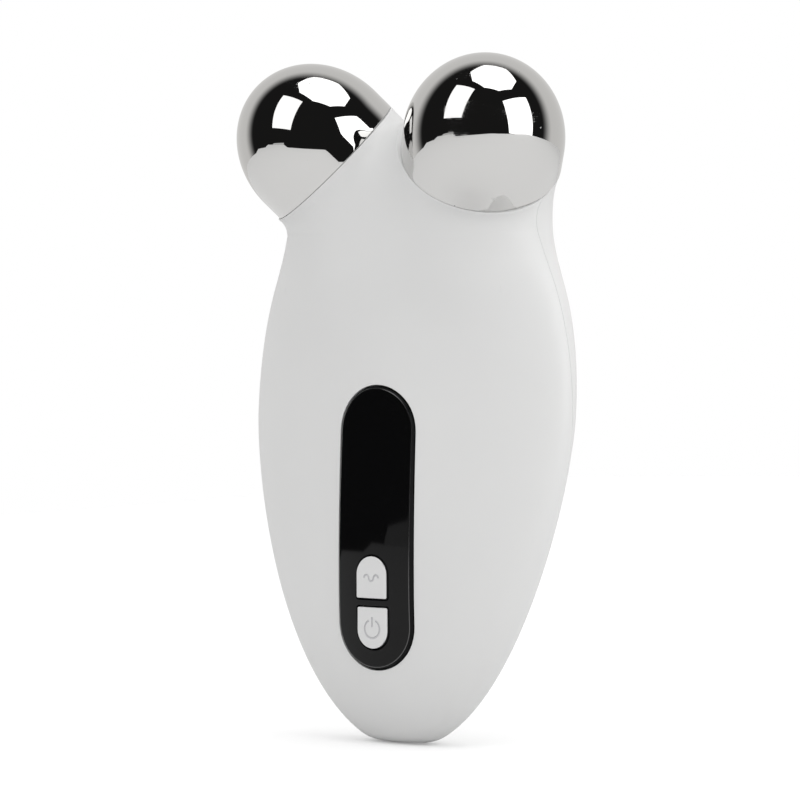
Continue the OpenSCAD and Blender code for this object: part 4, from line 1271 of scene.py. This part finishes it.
# the card's top edge: to the right, toward the camera and up
CARD = ((-1.034, 0.504, 0.008), (-1.015, 0.54, 0.029), (-0.95, 0.65, 0.037), (-0.84, 0.79, 0.046))
CARD_LEVEL = 0.6
# name, azimuth and rise in degrees, width, height, number of sides, turn in sides, level
SOFTBOXES = (
    ("left_softbox", -50.0, 38.0, 0.62, 0.95, 4, 0.5, 1.6),
    ("right_softbox", 53.0, 17.5, 0.86, 0.98, 4, 0.5, 2.35),
    ("top_softbox", 50.0, 77.5, 1.0, 1.1, 8, 0.3, 2.2),
)


def bare_material(name):
    material = bpy.data.materials.new(name)
    material.use_nodes = True
    material.node_tree.nodes.clear()
    return material, material.node_tree


def glowing(name, colour, level):
    material, tree = bare_material(name)
    glow = node(tree, "ShaderNodeEmission", {"Color": (*colour, 1), "Strength": level})
    node(tree, "ShaderNodeOutputMaterial", {"Surface": glow.outputs[0]})
    return material


def rays_of(tree):
    """One for rays to the camera, and one for rays in metal or through glass; nought for the rest."""
    path = node(tree, "ShaderNodeLightPath").outputs
    mirrored = math_node(tree, "ADD", path["Is Glossy Ray"], path["Is Transmission Ray"], clamp=True)
    return path["Is Camera Ray"], mirrored


def stage_piece(name, bm, material, seen=True):
    piece = mesh_object(name, bm)
    piece.data.materials.append(material)
    piece.visible_camera = seen
    return piece


def spot(right, toward, up):
    """A place from the device's foot, or a way, given in the camera's own directions."""
    return RIGHT * right + TOWARD * toward + UP * up


def build_table():
    material, tree = bare_material("white_table")
    matte = node(tree, "ShaderNodeBsdfDiffuse", {"Color": (TABLE_COLOUR,) * 3 + (1,)})
    to_camera, mirrored = rays_of(tree)
    seen = math_node(tree, "MULTIPLY", to_camera, TABLE_GLOW)
    place = node(tree, "ShaderNodeNewGeometry").outputs["Position"]
    away = node(tree, "ShaderNodeVectorMath", {0: place}, operation="LENGTH").outputs["Value"]
    sheen = node(tree, "ShaderNodeMapRange", {"Value": away, "From Min": FADE_FROM, "From Max": FADE_TO,
                                              "To Min": TABLE_SHEEN, "To Max": TABLE_SHEEN - TABLE_FADE})
    strength = math_node(tree, "ADD", seen, math_node(tree, "MULTIPLY", mirrored, sheen.outputs["Result"]))
    glow = node(tree, "ShaderNodeEmission", {"Strength": strength})
    both = node(tree, "ShaderNodeAddShader", {0: matte.outputs[0], 1: glow.outputs[0]})
    node(tree, "ShaderNodeOutputMaterial", {"Surface": both.outputs[0]})
    bm = bmesh.new()
    bm.faces.new([bm.verts.new(spot(right, toward, 0.0)) for right, toward in TABLE_CORNERS])
    bmesh.ops.recalc_face_normals(bm, faces=bm.faces)
    stage_piece("floor", bm, material)
    bm = bmesh.new()
    low = [bm.verts.new(spot(right, toward, 0.0)) for right, toward, _ in CARD]
    high = [bm.verts.new(spot(*corner)) for corner in CARD]
    for k in range(len(CARD) - 1):
        bm.faces.new((low[k], low[k + 1], high[k + 1], high[k]))
    stage_piece("card", bm, glowing("card", WHITE, CARD_LEVEL), seen=False)


def build_room():
    """The room that shows in gloss: dark in front and above, fading to the pale wall behind."""
    bm = bmesh.new()
    bmesh.ops.create_uvsphere(bm, u_segments=96, v_segments=48, radius=ROOM_R, matrix=Matrix.Translation(AIM))
    material = glowing("dark_room", ROOM_COLOUR, ROOM_LEVEL)
    tree = material.node_tree
    place = node(tree, "ShaderNodeNewGeometry").outputs["Position"]
    ahead = node(tree, "ShaderNodeVectorMath", {0: place, 1: spot(*ROOM_TILT) / ROOM_R},
                 operation="DOT_PRODUCT").outputs["Value"]
    level = node(tree, "ShaderNodeMapRange", {"Value": ahead, "From Min": ROOM_TURN, "From Max": WALL_TURN,
                                              "To Min": ROOM_LEVEL, "To Max": WALL_LEVEL},
                 interpolation_type="SMOOTHSTEP")
    tree.links.new(level.outputs["Result"], tree.nodes["Emission"].inputs["Strength"])
    room = stage_piece("dark_room", bm, material, seen=False)
    room.visible_diffuse = False
    room.visible_shadow = False


def build_softboxes():
    for name, azimuth, rise, width, height, sides, turn, level in SOFTBOXES:
        azimuth, rise = math.radians(azimuth), math.radians(rise)
        out = spot(math.sin(azimuth) * math.cos(rise), math.cos(azimuth) * math.cos(rise), math.sin(rise))
        across = UP.cross(out).normalized()
        upward = out.cross(across)
        bm = bmesh.new()
        reach = 1 / math.cos(math.pi / sides) / 2
        corners = []
        for k in range(sides):
            t = 2 * math.pi * (k + turn) / sides
            corners.append(AIM + out * SOFTBOX_R + across * width * reach * math.cos(t)
                           + upward * height * reach * math.sin(t))
        bm.faces.new([bm.verts.new(corner) for corner in corners])
        stage_piece(name, bm, glowing(name, WHITE, level), seen=False)


def build_world():
    world = bpy.data.worlds.new("studio")
    bpy.context.scene.world = world
    world.use_nodes = True
    tree = world.node_tree
    background = tree.nodes["Background"]
    background.inputs["Color"].default_value = (1, 1, 1, 1)
    to_camera, mirrored = rays_of(tree)
    shown = math_node(tree, "ADD", to_camera, mirrored, clamp=True)
    level = math_node(tree, "ADD", math_node(tree, "MULTIPLY", shown, 1 - FILL_LEVEL), FILL_LEVEL)
    tree.links.new(level, background.inputs["Strength"])


place_camera()
build_table()
build_room()
build_softboxes()
build_world()
bpy.context.scene.view_settings.view_transform = "Standard"
